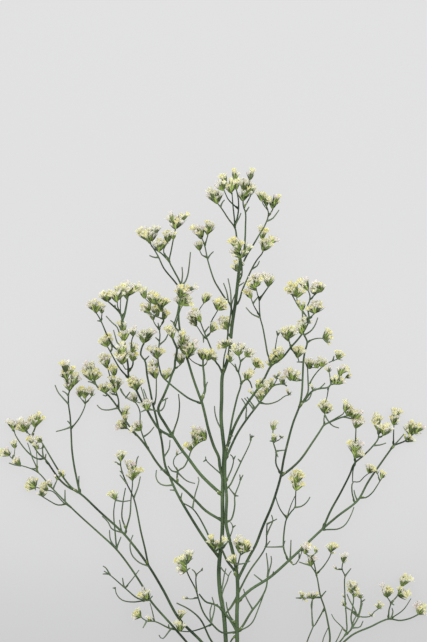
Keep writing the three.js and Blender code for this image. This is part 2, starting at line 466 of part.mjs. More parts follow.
    [0.67, 38, [[236.5, 571], [239, 560], [240.5, 553], [239.5, 545]]],
    [0.52, 40, [[240.2, 555], [246, 552]]],
    [0.57, 42, [[237.2, 567], [234, 563], [232, 560]]],
  ], [
    [240, 553, 238, 540], [240, 547, 238, 538], [244, 553, 241, 549], [246, 552, 243, 538],
    [246, 552, 251, 546], [234, 564, 228, 556]]],
  ['spray_low_right_tall', 'branch_low_right', [
    [0.8, 34, [[328, 650], [330, 638], [327, 618], [324, 606], [320.5, 596], [316, 574],
      [310.5, 565]]],
    [0.62, 40, [[316.3, 576], [313, 560], [310.5, 557], [305, 553.5]]],
    [0.62, 28, [[316, 574], [323, 567], [330.5, 555], [331, 551]]],
    [0.57, 22, [[320.8, 597.5], [312, 598], [301, 598]]],
    [0.62, 14, [[324, 608], [319, 618], [313, 627], [312, 612], [311, 605], [312.5, 599]]],
    [0.47, 38, [[310.5, 557], [316, 553]]],
  ], [
    [310, 566, 307, 561], [305.5, 553, 306, 545], [316, 553, 316, 547], [331, 552, 329, 545],
    [331, 553, 335, 554], [312.5, 599, 310, 593], [302, 598, 302, 592], [303, 598, 305, 602]]],
  ['spray_low_right_far', 'branch_low_right', [
    [0.9, LYING, [[318, 662.5], [336, 649], [353, 634.5], [370, 627], [388.5, 619], [400, 620.5],
      [411, 618], [419, 614]]],
    [0.67, 16, [[388.5, 619], [389, 610], [390.7, 603], [387, 597]]],
    [0.62, 10, [[390, 603.5], [398, 595], [400, 590], [402, 586]]],
    [0.52, 14, [[390, 619], [403.4, 609.7], [411, 598.5]]],
  ], [
    [387, 597, 384, 590], [398, 595, 408, 592], [399, 592, 400, 586], [402, 586, 404, 575],
    [419, 614, 418, 603], [419, 614, 426, 610]]],
  ['spray_low_right_mid', 'branch_low_right', [
    [0.72, 38, [[309, 674.5], [326, 656], [346, 633], [346.5, 620], [345.5, 606], [344.5, 580],
      [345, 576], [342, 569], [343, 562]]],
    [0.72, 30, [[344, 635], [352, 628], [351, 618], [352.5, 608], [353.5, 597], [351, 592]]],
    [0.8, 24, [[352, 611], [357.5, 616], [361, 604], [361, 598]]],
    [0.57, 18, [[356, 616], [362, 617], [371, 616], [374, 612], [379, 608.5]]],
    [0.52, 24, [[347, 632], [340, 625], [334, 619], [331.5, 614]]],
    [0.52, 38, [[342, 569.5], [337, 569.5]]],
    [0.57, 16, [[330, 652], [337, 640], [343, 627]]],
    [0.57, 12, [[322, 661], [323, 640], [328, 628]]],
  ], [
    [345, 606, 342, 603], [346, 598, 344, 594], [343, 562, 344, 554], [337, 569.5, 334, 566],
    [352, 593, 350, 584], [361, 598, 357, 593], [371, 616.5, 374, 616], [379, 609, 380, 603]]],
];

const wasm = await Module();
wasm.setup();

const routes = {};      // the sampled centre lines of every piece, by name

// The point at a pixel and a height above the table, on the reader's line of sight
function at(x, y, height) {
  const reach = MM_PER_PIXEL * (EYE_HEIGHT - height) / (EYE_HEIGHT - READING_HEIGHT);
  const eyeY = (MIDDLE_PIXEL - EYE_PIXEL[1]) * MM_PER_PIXEL;
  return new THREE.Vector3((x - EYE_PIXEL[0]) * reach, eyeY + (EYE_PIXEL[1] - y) * reach, height);
}

// The nearest point of the given centre lines, as seen in the photograph
function nearest([x, y], lines) {
  let best = { distance: Infinity };
  for (const line of lines) {
    for (let i = 1; i < line.length; i += 1) {
      const [a, b] = [line[i - 1], line[i]];
      const [runX, runY] = [b.x - a.x, b.y - a.y];
      const along = ((x - a.x) * runX + (y - a.y) * runY) / (runX * runX + runY * runY);
      const t = THREE.MathUtils.clamp(along, 0, 1);
      const point = { x: a.x + t * runX, y: a.y + t * runY };
      const distance = Math.hypot(point.x - x, point.y - y);
      if (distance < best.distance) {
        best = { ...point, distance, height: THREE.MathUtils.lerp(a.height, b.height, t) };
      }
    }
  }
  return best;
}

// A smooth centre line through the pixels, its height rising evenly by length. Its foot is moved
// onto what carries it.
function sample(pixels, carriers, tipHeight, step) {
  const foot = carriers ? nearest(pixels[0], carriers) : null;
  const footHeight = foot ? foot.height : STEM_FOOT_HEIGHT;
  const corners = foot ? [[foot.x, foot.y], ...pixels.slice(1)] : pixels;
  const flat = new THREE.CatmullRomCurve3(corners.map(([x, y]) => new THREE.Vector3(x, y, 0)));
  const count = Math.max(1, Math.round(flat.getLength() * MM_PER_PIXEL / step));
  return flat.getSpacedPoints(count).map((point, i) => ({
    x: point.x, y: point.y, height: THREE.MathUtils.lerp(footHeight, tipHeight, i / count),
  }));
}

// A closed manifold solid from a geometry, and the way back
function solidFrom(geometry) {
  geometry.deleteAttribute('normal');
  geometry.deleteAttribute('uv');
  const merged = mergeVertices(geometry, WELD);
  const vertProperties = new Float32Array(merged.attributes.position.array);
  const triVerts = new Uint32Array(merged.index.array);
  return new wasm.Manifold(new wasm.Mesh({ numProp: 3, vertProperties, triVerts }));
}

function geometryFrom(solid) {
  const { vertProperties, triVerts } = solid.getMesh();
  const geometry = new THREE.BufferGeometry();
  geometry.setAttribute('position', new THREE.BufferAttribute(vertProperties, 3));
  geometry.setIndex(new THREE.BufferAttribute(triVerts, 1));
  geometry.computeVertexNormals();
  return geometry;
}

// A tapered rod along a centre line: a closed cylinder with its rings moved onto the line
function rod(line, footRadius, tipRadius, sides) {
  const rings = line.length - 1;
  const geometry = new THREE.CylinderGeometry(tipRadius, footRadius, rings, sides, rings);
  const points = line.map((point) => at(point.x, point.y, point.height));
  const position = geometry.attributes.position;
  const up = new THREE.Vector3(0, 0, 1);
  for (let i = 0; i < position.count; i += 1) {
    const ring = Math.round(position.getY(i) + rings / 2);
    const ahead = points[Math.min(ring + 1, rings)].clone().sub(points[Math.max(ring - 1, 0)]);
    const across = new THREE.Vector3().crossVectors(ahead, up).normalize();
    const lift = new THREE.Vector3().crossVectors(across, ahead).normalize();
    const moved = points[ring].clone();
    moved.addScaledVector(across, position.getX(i)).addScaledVector(lift, position.getZ(i));
    position.setXYZ(i, moved.x, moved.y, moved.z);
  }
  return solidFrom(geometry);
}

// The largest closed body of a solid, so that no sliver stays where a neighbour was cut away
function largestBody(name, solid) {
  const bodies = solid.decompose().sort((a, b) => b.volume() - a.volume());
  if (bodies[0].volume() < LEAST_BODY * solid.volume()) throw new Error(`${name} is cut through`);
  return bodies[0];
}

function pieceSolid(rods, heads, lines, grow) {
  const stalks = rods.map(([radius], i) => {
    const sides = radius > THICK ? STEM_SIDES : TWIG_SIDES;
    return rod(lines[i], radius + grow, TAPER * radius + grow, sides);
  });
  const cups = heads.map(([x, y, openX, openY]) => {
    const seat = nearest([x, y], lines);
    const line = [seat, { x: openX, y: openY, height: seat.height }];
    return rod(line, HEAD_FOOT + grow, HEAD_MOUTH + grow, HEAD_SIDES);
  });
  return wasm.Manifold.union([...stalks, ...cups]);
}

// Every later piece gives way to the earlier ones, with the gap between them
const earlier = [];
const group = new THREE.Group();

for (const [name, carrier, rods, heads] of PIECES) {
  const lines = [];
  routes[name] = lines;
  for (const [radius, tipHeight, pixels] of rods) {
    const step = radius > THICK ? STEM_STEP : TWIG_STEP;
    lines.push(sample(pixels, lines.length ? lines : routes[carrier], tipHeight, step));
  }
  const build = (grow) => pieceSolid(rods, heads, lines, grow);
  let solid = build(0);
  for (const other of earlier) {
    if (solid.minGap(other.solid, GAP) < GAP) solid = solid.subtract(other.build(GAP));
  }
  solid = largestBody(name, solid);
  earlier.push({ name, build, solid });

  const color = new THREE.Color(name.startsWith('spray') ? SPRAY_COLOUR : STEM_COLOUR);
  const material = new THREE.MeshStandardMaterial({ color, roughness: 0.8 });
  const mesh = new THREE.Mesh(geometryFrom(solid), material);
  mesh.name = name;
  group.add(mesh);
}

// The lowest point lies on the table, and the origin is under the middle of the spray's box
const box = new THREE.Box3().setFromObject(group);
const middle = box.getCenter(new THREE.Vector3());
for (const mesh of group.children) mesh.position.set(-middle.x, -middle.y, -box.min.z);

export default group;
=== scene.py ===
"""A cut stem of branched pale yellow statice, lying on a table, seen from straight above."""
import math
import random

import bpy
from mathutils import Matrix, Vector


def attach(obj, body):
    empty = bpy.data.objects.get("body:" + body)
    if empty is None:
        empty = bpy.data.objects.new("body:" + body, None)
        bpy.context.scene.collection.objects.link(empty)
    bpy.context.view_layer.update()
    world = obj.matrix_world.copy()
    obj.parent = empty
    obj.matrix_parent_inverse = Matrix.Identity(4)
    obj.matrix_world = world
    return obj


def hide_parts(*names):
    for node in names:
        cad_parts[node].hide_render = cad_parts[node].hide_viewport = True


MM = 0.001                   # every size below is in millimetres
STEM_LENGTH = 600            # cut end to the topmost flower
EYE_HEIGHT = 2500            # the routes were read from this height above the table
READING_HEIGHT = 30          # a pixel is worth MM_PER_PIXEL at this height
STEM_FOOT_HEIGHT = 2         # the cut end of the stem lies on the table
LYING = 2.7                  # tip height of a twig whose heads lie on the table
TABLE_CLEARANCE = 0.05       # what would dip into the table is pressed flat just above it
CENTRING = Vector((-1.36, 3.42, -0.39))  # puts the middle of the stem over the origin

# Places in the photograph that fix the scale and the camera, in its pixels
TOP_PIXEL = 170
CUT_END_PIXEL = 920
EYE_PIXEL = (213.5, 321)
PHOTO_WIDTH = 427
MM_PER_PIXEL = STEM_LENGTH / (CUT_END_PIXEL - TOP_PIXEL)
MIDDLE_PIXEL = (TOP_PIXEL + CUT_END_PIXEL) / 2
EYE_Y = (MIDDLE_PIXEL - EYE_PIXEL[1]) * MM_PER_PIXEL

# Rods: stems, branches and twigs
THICK = 0.95                 # foot radius from which a rod has the ribs of a stem
TAPER = 0.6                  # tip radius of a rod for a foot radius of 1
ROD_STEP = 2.5               # length between two rings of a rod
CURVE_BITS = 8               # straight bits of a route between two of its corners
ROD_SIDES, TWIG_SIDES, NEEDLE_SIDES = 20, 8, 6
COLLAR = 0.35                # how much thicker a rod is where it forks off
COLLAR_LENGTH = 2.5          # it ends this far from the fork, and the foot radius on top
RIBS, RIB_DEPTH = 5, 0.09    # a rib stands out by this share of the radius
NEEDLE_RADIUS = 0.66         # a sterile twig at its foot
NEEDLE_TIP = 0.42
NEEDLE_RISE = 4              # its tip lies this much above its foot

# The small scale that clasps a fork
SCALE_LENGTH = 3.2           # for a rod with no thickness, and its radius on top
SCALE_SWELL, SCALE_GAP = 1.15, 0.15  # it stands off by its rod's radius times one, plus the other
SCALE_WRAP = 1.1             # half the angle that it covers, in radians
SCALE_TINT = 0.5             # tints go from 0, the darkest bract, to 1

# Flower heads. A head is a row of spikelets, and a spikelet is one flower with its bracts.
HEAD_REACH = 1.1             # how far the flowers stand out past the pixel where a head opens
SPIKELET_PITCH = 4           # a longer head has one more spikelet for each such length
SPIKELET_LENGTH = 7.8        # foot of the lowest bract to the edge of the petals
SPIKELET_SPREAD = 0.42       # how far the flowers lean to either side of the head's axis
# Each bract of a spikelet: how far round it stands, its share of the length, where it starts.
SPIKELET_BRACTS = ((0, 1.15, 0.8), (1.3, 0.9, 0.4), (-1.3, 0.85, 0), (3.0, 0.55, 1.8))
OUTER_START = 0.8            # the two dark bracts beside a head start this far up it
OUTER_REACH = 0.72           # their length for a head length of 1
OUTER_SPREAD = 0.5           # how far they lean out
OUTER_TINT = 0.3
BRACT_LENGTH = 6.2
BRACT_RADIUS = 1.05
BRACT_WRAP = 1.0
CALYX_FOOT_HEIGHT = 2.0
CALYX_LENGTH = 5.7
CALYX_THROAT = 0.5
CALYX_MOUTH = 2.4
LOBE_LENGTH, LOBE_WIDTH = 0.16, 0.2  # how far the five lobes of a calyx stand out, as shares
FLARE = 1.9                  # calyx and petals open late and wide: 1 is a plain cone
PETALS = 5
PETAL_FOOT_HEIGHT = 0.62     # for a calyx length of 1
PETAL_LENGTH = 3.0
PETAL_HALF_WIDTH = 1.6
PETAL_SPREAD = (0.4, 1.6)    # how far a petal stands off at its foot, and farther at its edge
PETAL_NOTCH = 0.45
PETAL_CURL = 0.25

# How finely the sheets are divided
SCALE_ROWS, SCALE_COLUMNS = 4, 2
CALYX_ROWS, CALYX_COLUMNS = 4, 15
PETAL_ROWS, PETAL_COLUMNS = 4, 2

# Colours, linear, each group from dark to light or from the foot to the edge
STEM_DARK = (0.011, 0.024, 0.008)
STEM_LIGHT = (0.063, 0.100, 0.041)
NEEDLE_DARK = (0.042, 0.068, 0.030)
NEEDLE_LIGHT = (0.088, 0.122, 0.060)
BRACT_DARK = (0.023, 0.044, 0.006)
BRACT_MID = (0.11, 0.165, 0.019)
BRACT_LIGHT = (0.26, 0.34, 0.065)
BRACT_EDGE = (0.45, 0.48, 0.4)       # darkens a bract towards both of its edges
BRACT_TIP = (0.50, 0.50, 0.30)
CALYX_FOOT = (0.54, 0.58, 0.28)
CALYX_MIDDLE = (0.83, 0.83, 0.62)
CALYX_RIM = (0.92, 0.92, 0.83)
PETAL_FOOT = (0.76, 0.70, 0.26)
PETAL_MIDDLE = (0.83, 0.81, 0.50)
PETAL_EDGE = (0.85, 0.84, 0.64)
FLOOR_COLOUR = (0.04, 0.04, 0.04)
SKY_COLOUR = (0.96, 0.98, 1.0)

# Tints of single flowers, which multiply their colour: warm, plain or towards pink
CALYX_TINTS = ((0.0, (1, 0.97, 0.8)), (0.5, (1, 1, 1)), (1.0, (0.97, 0.95, 1.05)))
PETAL_TINTS = ((0.0, (1, 0.97, 0.7)), (0.4, (1, 1, 0.9)), (0.8, (1, 1, 1.3)),
               (1.0, (0.95, 0.88, 1.2)))
CALYX_SHEER, PETAL_SHEER = 0.68, 0.62  # the share of the light that they let through

# The table glows by itself, a painted light that is brighter towards its far edge and lifts the shade
# that the plant casts on it: the place along it, where 0 is the near edge and 1 the far edge, and how
# bright it is there
FLOOR_PAINTED_GLOW = ((0.488, 0.505), (0.4945, 0.515), (0.4985, 0.59), (0.5045, 0.62), (0.515, 0.645))

# Studio, metres and watts
FLOOR_SIZE = 12
SKY_STRENGTH = 0.78
LAMP_SIZE = 2.2
LAMP_POWER = 42
LAMP_PLACE = (0.1, 0.7, 1.2)

# Each piece: name, what carries it, its rods and its flower heads. A rod is its foot radius, the
# height of its tip and its route in pixels, from foot to tip. It grows from the carrier or from an
# earlier rod of the piece, and rises evenly from there. A head is the pixel where it sits on its
# rod and the pixel where it opens.
PIECES = [
    ["main_stem", None, [
      [2, 46, [[226, 920], [228, 850], [229, 780], [228.5, 710], [226.5, 660], [225.3, 635],
        [223.5, 613], [220, 593], [218.7, 573], [219.5, 558], [221.7, 540], [222.4, 521],
        [222.3, 500], [222.6, 487], [223.3, 465], [224, 450], [222.6, 436], [221, 418],
        [221.5, 400], [222.3, 375], [224.5, 369], [229, 354], [230.5, 340], [232, 325],
        [235, 305], [237, 288], [239, 270], [240, 262]]],
      [0.62, 32, [[221.5, 475.5], [213, 467], [206, 460], [205.5, 456.5]]],
      [0.9, 26, [[219, 657], [212, 642], [200.5, 619.5], [189.6, 609.7], [176.6, 603]]],
    ], []],
    ["second_stem", "main_stem", [
      [1.75, 38, [[228.5, 712], [233, 695], [236, 668], [237, 642], [236.8, 613], [237.6, 594],
        [237, 576], [234.6, 561], [231.9, 549], [229, 538], [226, 524], [225.9, 513],
        [226.6, 500], [226, 490], [225, 476], [225, 463], [225.6, 453], [227.5, 445]]],
      [0.67, 30, [[226, 489], [229.5, 486], [235, 475], [241, 462], [250, 443], [252, 435]]],
      [0.67, 30, [[224.8, 483], [228.5, 476], [231.6, 469], [233.5, 458.5], [230.3, 454.5]]],
      [0.72, 28, [[227, 522], [230.5, 520.5], [233.3, 514], [234.8, 505], [234.8, 496],
        [238.5, 486], [240.3, 480], [239.7, 474.5]]],
      [1.1, 30, [[237, 577], [233.5, 569.5], [227, 561], [224, 554.5], [221.8, 549.5],
        [217.5, 545.5]]],
      [0.62, 26, [[222.5, 548.5], [225, 545.5], [228.5, 540.5], [231, 534], [233, 527],
        [230.5, 522]]],
      [1.1, 24, [[236.8, 597], [234, 602.5], [230.5, 608], [226.5, 612.5], [225, 616]]],
      [0.72, 20, [[237, 624], [231.5, 618.5], [228.5, 613], [226.8, 606.5], [226.3, 602]]],
      [0.67, 16, [[236.8, 627], [232, 622], [227, 617], [221.5, 611], [217, 604]]],
      [0.8, 14, [[236, 635], [233.5, 637.5], [230.5, 642], [227.5, 650]]],
      [0.8, 26, [[238, 594], [249.3, 571.7], [265.5, 547], [266.6, 533], [267, 524]]],
      [0.95, 22, [[237.5, 631], [241, 628], [251, 612], [260, 600], [266, 588], [267.5, 577]]],
      [0.62, 20, [[238, 632], [251, 624], [259, 607], [266, 588]]],
    ], []],
    ["branch_far_left", "main_stem", [
      [1.2, 4, [[228, 700], [216, 660], [201.6, 642], [178.8, 618.4], [162.5, 589], [148, 565],
        [130, 541], [122, 532], [100, 512], [80, 493.5], [68, 487], [60, 480], [54, 472],
        [48, 463]]],
    ], [
      [180, 619, 183, 609], [180, 619, 181, 612]]],
    ["branch_low_left", "main_stem", [
      [1.05, 15, [[228.8, 730], [216, 690], [200, 660], [186.4, 642], [173.4, 627], [150, 600],
        [143, 587], [130, 567], [116, 549], [97.6, 531.8], [80, 516], [70, 506.5]]],
    ], []],
    ["branch_mid_left", "main_stem", [
      [1.05, 12, [[223, 521], [206, 511], [195, 500], [187, 492], [177, 483], [162, 469], [155, 460],
        [150, 452], [142, 441], [134, 432], [127, 423], [118, 408], [108, 395], [101, 390],
        [96, 385], [94, 378]]],
      [0.62, 10, [[137, 436], [131, 431], [126, 427.5]]],
      [0.52, 12, [[94.5, 380], [92.5, 374], [91.5, 370]]],
      [0.52, 13, [[95.5, 384], [91, 380], [88, 376]]],
    ], [
      [104, 392, 100, 386], [104, 392, 104, 383], [105, 392, 109, 385], [91, 380, 84, 369],
      [91, 380, 88, 372], [92, 374, 88, 359], [92, 372, 90, 361], [95, 379, 95, 364],
      [95, 380, 93, 371], [96, 380, 99, 371], [88, 376, 82, 368], [127, 428, 120, 422],
      [126, 427, 117, 425], [125, 426, 122, 419], [127, 420, 126, 414], [126, 415, 126, 407],
      [125, 415, 128, 411]]],
    ["branch_inner_left", "main_stem", [
      [1.1, 54, [[219, 558], [206, 541], [193, 521], [180, 499], [174, 487], [169, 475],
        [165, 465], [161.5, 440], [158, 426], [155, 413], [152.5, 403], [150, 390], [147, 375],
        [145, 361], [140.7, 355], [142, 347], [144, 343]]],
      [0.62, 44, [[153, 406], [155.5, 400], [156.3, 390], [156.3, 376], [156.3, 368]]],
      [0.8, 33, [[217, 557], [214, 550], [206, 530], [193, 509], [183, 503]]],
    ], [
      [144, 343, 142, 330], [144.5, 343, 146, 328], [145, 342, 149, 327], [146, 341, 152, 329],
      [156, 378, 151, 371], [156, 378, 155, 368], [156, 368, 151, 363], [156, 378, 151, 366],
      [156, 369, 154, 361]]],
    ["branch_upper_left", "main_stem", [
      [1.3, 62, [[222, 495], [213, 487], [200, 474], [188, 458], [181, 449], [174, 438],
        [165, 424], [158, 410], [164, 395], [169, 383], [171.5, 375], [174.5, 368], [175, 361],
        [176.5, 353], [177, 349], [174, 342], [172, 337]]],
      [0.57, 54, [[174.6, 369], [179, 366], [182, 363]]],
      [0.47, 64, [[177, 349], [180, 346.5], [182, 345]]],
      [0.72, 40, [[172.5, 435.5], [174, 430], [178, 418], [179.5, 405], [178.5, 394]]],
    ], [
      [173, 338, 169, 326], [174, 338, 173, 327], [182, 345, 180, 326], [181, 364, 177, 352],
      [182, 363, 182, 354]]],
    ["branch_outer_left", "branch_upper_left", [
      [1, 66, [[173, 437.5], [160, 430], [152, 419], [147, 410], [141, 400], [136, 390],
        [131, 382], [128.5, 376], [128, 366], [126, 352], [124, 338], [123, 324]]],
    ], [
      [147, 409, 145, 401], [148, 409, 149, 400], [146, 408, 143, 404], [147, 408, 147, 399],
      [137, 390, 134, 386], [137, 391, 136, 380], [139, 387, 140, 378], [136, 389, 131, 377],
      [135, 388, 133, 375], [134, 388, 129, 385], [123, 341, 121, 330], [122, 332, 122, 320],
      [126, 340, 127, 331]]],
    ["branch_crown_left", "main_stem", [
      [1.2, 66, [[221.5, 478], [219.8, 467], [218.6, 457], [214, 447], [208.5, 430], [205, 415],
        [202, 403], [199, 395], [193, 378], [187.5, 360], [184, 350], [182, 340],
        [179.5, 328], [178.5, 314], [180, 304]]],
      [0.62, 76, [[187, 359], [191, 353], [193, 350]]],
    ], [
      [184, 354, 182, 341], [186, 356, 185, 333], [187, 355, 188, 340], [190, 355, 192, 342],
      [191, 354, 197, 341], [188, 357, 189, 349], [190, 357, 194, 350]]],
    ["branch_right", "second_stem", [
      [1.1, 46, [[238, 580], [249.3, 556.6], [255.8, 544.6], [263, 526], [270.9, 507.8],
        [276, 493], [280.5, 477], [283.5, 460], [287.5, 443], [293, 423], [300, 404], [302, 390],
        [302.7, 375], [303.5, 360], [305, 351], [307.2, 342], [304, 335], [302, 330]]],
      [0.62, 42, [[307.2, 343], [312, 339.7], [318, 338.3], [323.6, 338.4]]],
      [0.52, 44, [[302.7, 380], [296, 381], [291, 380]]],
    ], [
      [324, 338, 329, 331], [325, 338, 333, 334], [326, 339, 330, 341], [302, 331, 303, 321],
      [291, 380, 288, 367], [292, 380, 292, 371], [294, 380, 297, 372], [298, 380, 299, 376]]],
    ["branch_upper_right", "second_stem", [
      [1.05, 68, [[227, 446], [234, 427], [240, 415], [246, 405], [254, 394], [264, 379],
        [271, 366], [282, 358], [291, 347], [298.6, 338.5], [304.4, 330.4], [309, 321]]],
      [0.62, 72, [[291, 347.5], [289, 341], [286.5, 337], [285.5, 331]]],
      [0.57, 60, [[273, 365], [274.5, 356], [275.5, 347], [277, 338], [278, 334]]],
      [0.62, 44, [[291.5, 348], [295, 354], [298, 358], [299, 362]]],
    ], [
      [290, 341, 283, 329], [289, 338, 286, 326], [290, 336, 290, 327], [291, 337, 295, 328],
      [299, 355, 296, 349], [299, 356, 302, 349], [299, 357, 299, 348], [302, 334, 297, 325],
      [303, 334, 301, 320], [305, 331, 303, 322], [304, 326, 303, 318], [279, 357, 276, 350],
      [280, 356, 281, 348], [275, 358, 278, 348], [260, 391, 258, 384], [260, 391, 261, 382],
      [262, 386, 263, 379], [262, 388, 268, 381], [253, 394, 250, 390]]],
    ["branch_far_right", "second_stem", [
      [1.15, 6, [[237, 602], [250, 590], [269.9, 577.2], [288.3, 561], [305.8, 544.6],
        [323.1, 528.4], [339, 515], [354.6, 503.4], [359.5, 498], [368, 482], [381, 463],
        [392, 447.5]]],
      [0.62, 6, [[355, 503], [352, 492], [353, 482], [359, 482], [364, 477], [369, 473]]],
      [0.62, 18, [[359.5, 498], [366, 497.5], [372, 493], [380, 481], [382, 478]]],
      [0.57, 14, [[289.5, 560.5], [294, 565], [299, 559], [302.5, 550]]],
      [0.47, 14, [[380, 481], [378, 475], [377, 472]]],
      [0.62, 12, [[321, 529], [330, 529.5], [338, 529], [345, 525], [351, 515], [354, 507]]],
    ], [
      [369, 472, 370, 463], [370, 472, 373, 467], [369, 473, 371, 470], [377, 474, 377, 469],
      [381, 478, 383, 471], [382, 478, 386, 473], [303, 552, 303, 545], [302, 551, 304, 546]]],
    ["branch_rising_right", "branch_far_right", [
      [0.9, 24, [[323, 528.4], [330, 512], [341, 492], [350, 474], [354, 464], [363, 456],
        [372, 447], [378.5, 438], [378, 431], [377, 423]]],
      [0.72, 32, [[355, 462], [354.8, 452], [355.5, 440], [356, 428]]],
      [0.57, 30, [[378.5, 437.5], [384, 435], [388, 432]]],
      [0.62, 22, [[354.5, 462], [353, 470], [352.5, 482]]],
    ], [
      [378, 430, 374, 414], [379, 434, 381, 425], [377, 425, 377, 412], [378, 427, 379, 415],
      [384, 436, 385, 427], [385, 436, 389, 428], [384, 434, 387, 424], [384, 435, 383, 424],
      [388, 432, 393, 430], [355, 455, 352, 440], [356, 458, 358, 447], [355, 452, 354, 436],
      [357, 452, 360, 440], [357, 458, 363, 447], [357, 457, 362, 452], [356, 428, 355, 420],
      [357, 428, 359, 418], [356, 428, 362, 419], [356, 428, 363, 417]]],
    ["branch_low_right", "main_stem", [
      [1.2, 16, [[228.5, 800], [250, 765], [285, 710], [315, 666], [331, 647]]],
      [0.8, 14, [[285, 710], [300, 668], [307, 642], [313, 627]]],
    ], []],
    ["spray_crown", "main_stem", [
      [0.8, 62, [[240, 262], [238, 250], [236.5, 236], [235, 228], [228.5, 219], [222, 209],
        [216.5, 202]]],
      [0.67, 72, [[235, 228], [234.5, 220], [233, 206], [232, 193]]],
      [0.67, 66, [[235.5, 226], [238, 214], [238.5, 201], [236.5, 190], [235.5, 186], [235, 180]]],
      [0.62, 76, [[238, 209], [232.6, 204], [228, 199], [224, 190]]],
      [0.77, 56, [[239.5, 259], [243.5, 252], [245, 240], [245.5, 226], [245.5, 212.5],
        [243.3, 206], [243.5, 190]]],
      [0.62, 52, [[244, 208], [249, 199], [252, 193]]],
      [0.57, 74, [[231.5, 194], [229, 189], [226, 183], [224.5, 180]]],
      [0.47, 60, [[244.5, 192], [249, 186], [250, 180]]],
    ], [
      [217, 204, 207, 189], [218, 203, 221, 189], [214, 200, 211, 188], [223, 190, 215.5, 181],
      [224, 190, 221, 180], [226, 183, 223, 174], [232, 192, 228, 183], [232, 192, 233, 179],
      [234, 190, 236, 180], [235, 188, 238, 182], [235.5, 180, 236, 170], [243, 188, 243.5, 176],
      [244, 188, 248, 180], [250, 180, 251, 170], [243, 201, 240, 190], [244, 201, 246, 190],
      [246, 198, 254.5, 184], [249, 194, 254, 185]]],
    ["spray_top_right", "main_stem", [
      [0.77, 42, [[239, 272], [247, 255], [253.5, 244.5], [258.5, 236], [265.5, 224],
        [268.5, 214], [266.5, 206]]],
      [0.62, 46, [[268, 216], [272.7, 209.6], [274, 205]]],
      [0.52, 48, [[266.5, 210], [263, 204], [262, 201]]],
    ], [
      [262, 201, 258.5, 190], [266.5, 206, 266.5, 193], [272, 208, 272, 197],
      [273, 208, 278, 192], [274, 206, 277, 199]]],
    ["spray_right_of_top", "main_stem", [
      [0.77, 32, [[235.5, 305.5], [239, 301], [242, 291], [244.5, 285], [247, 279.5],
        [251.5, 269.5], [255, 263], [258, 258.5], [263, 251.5], [262, 239]]],
    ], [
      [262, 240, 263.5, 226], [263.5, 251, 266, 238], [264, 251, 277, 237], [263, 251, 271, 240]]],
    ["spray_left_of_top", "main_stem", [
      [0.77, 30, [[232.5, 318], [230, 304], [225.3, 298.5], [219.8, 290], [214.5, 281],
        [210, 268], [207.5, 259], [204.5, 245], [201, 236]]],
      [0.62, 34, [[204.8, 246], [206.5, 240], [208.4, 233]]],
      [0.57, 24, [[206.5, 258], [202, 255], [199.5, 250]]],
    ], [
      [201, 239, 194, 225], [201, 239, 199, 223], [208, 235, 206, 224], [208.5, 235, 209, 219],
      [209, 234, 212, 221], [199, 250, 197, 241], [199.5, 250, 201, 242]]],
    ["spray_over_axis", "main_stem", [
      [0.72, 62, [[239, 284], [241.5, 276], [242, 268], [240.5, 256], [239, 250]]],
      [0.52, 56, [[241.5, 275], [237, 271]]],
    ], [
      [238, 252, 237, 237], [239, 252, 230, 236], [240, 248, 240, 239], [240, 257, 230, 249],
      [241, 258, 252, 244], [236, 270, 232, 262], [243, 266, 245, 262]]],
    ["spray_shoulder_left", "branch_crown_left", [
      [0.77, 46, [[179, 305], [180, 290], [175.8, 283], [164, 268.5], [158, 256], [149, 242],
        [145, 239]]],
    ], [
      [144, 241, 138, 228], [145, 241, 142, 225], [148, 241, 146, 228]]],
    ["spray_shoulder_right", "branch_crown_left", [
      [0.77, 84, [[180, 302], [182, 290], [179.7, 281.7], [173.6, 270], [169.4, 261],
        [171, 251.5], [173, 241], [175.5, 229]]],
      [0.67, 66, [[169.6, 262], [165, 257], [161, 253], [152, 247], [150.5, 243]]],
      [0.57, 74, [[165.5, 258], [163.5, 250], [168, 242]]],
    ], [
      [175.5, 228, 169, 212], [176, 227, 174, 213], [177, 226, 181, 213], [178, 225, 187, 212],
      [168, 242, 167, 232], [169, 241, 171, 231], [173, 239, 174, 232], [159, 250, 157, 239],
      [160, 250, 163, 238], [151, 243, 148, 228], [152, 241, 152, 224], [154, 240, 158, 225],
      [151, 243, 152, 236]]],
    ["spray_left_a", "branch_outer_left", [
      [0.72, 50, [[126, 353], [121, 351.5], [116.2, 349], [112, 344.4], [106.6, 334], [101, 321],
        [97, 314], [93, 309.5]]],
      [0.52, 44, [[101.5, 321], [102, 313], [102, 308]]],
    ], [
      [92, 309, 87, 302], [94, 311, 92, 299], [95, 311, 93, 301], [97, 312, 97, 303],
      [102, 313, 102, 305], [102, 313, 100, 307], [102, 313, 104, 309]]],
    ["spray_left_b", "branch_outer_left", [
      [0.95, 72, [[123, 326], [122, 318], [120.4, 313.6], [116.2, 308.8], [107.5, 301]]],
      [0.57, 78, [[120.5, 314], [117.5, 306], [117.5, 300]]],
      [0.95, 66, [[122, 319], [124.2, 315], [126, 307], [128, 296]]],
      [0.47, 76, [[121, 313], [120.5, 303], [121, 294]]],
    ], [
      [127, 298, 125, 285], [128, 297, 130, 281], [130, 296, 137, 282], [121, 294, 121, 285],
      [116, 302, 113, 292], [117, 301, 118, 285], [119, 300, 121, 291], [107, 301, 101, 292],
      [107, 300, 107, 290], [108, 300, 110, 293]]],
    ["spray_left_c", "branch_outer_left", [
      [0.72, 52, [[128.5, 379], [121, 370], [114.6, 359.7], [110, 351], [107, 346]]],
      [0.52, 50, [[110.5, 352], [112.5, 347]]],
    ], [
      [106, 347, 101, 339], [107, 346, 105, 335], [108, 345, 109, 338], [112, 348, 113, 342]]],
    ["spray_left_d", "branch_outer_left", [
      [0.72, 78, [[128.5, 372], [132.5, 366], [133, 358], [131.5, 345], [132, 339], [134, 335]]],
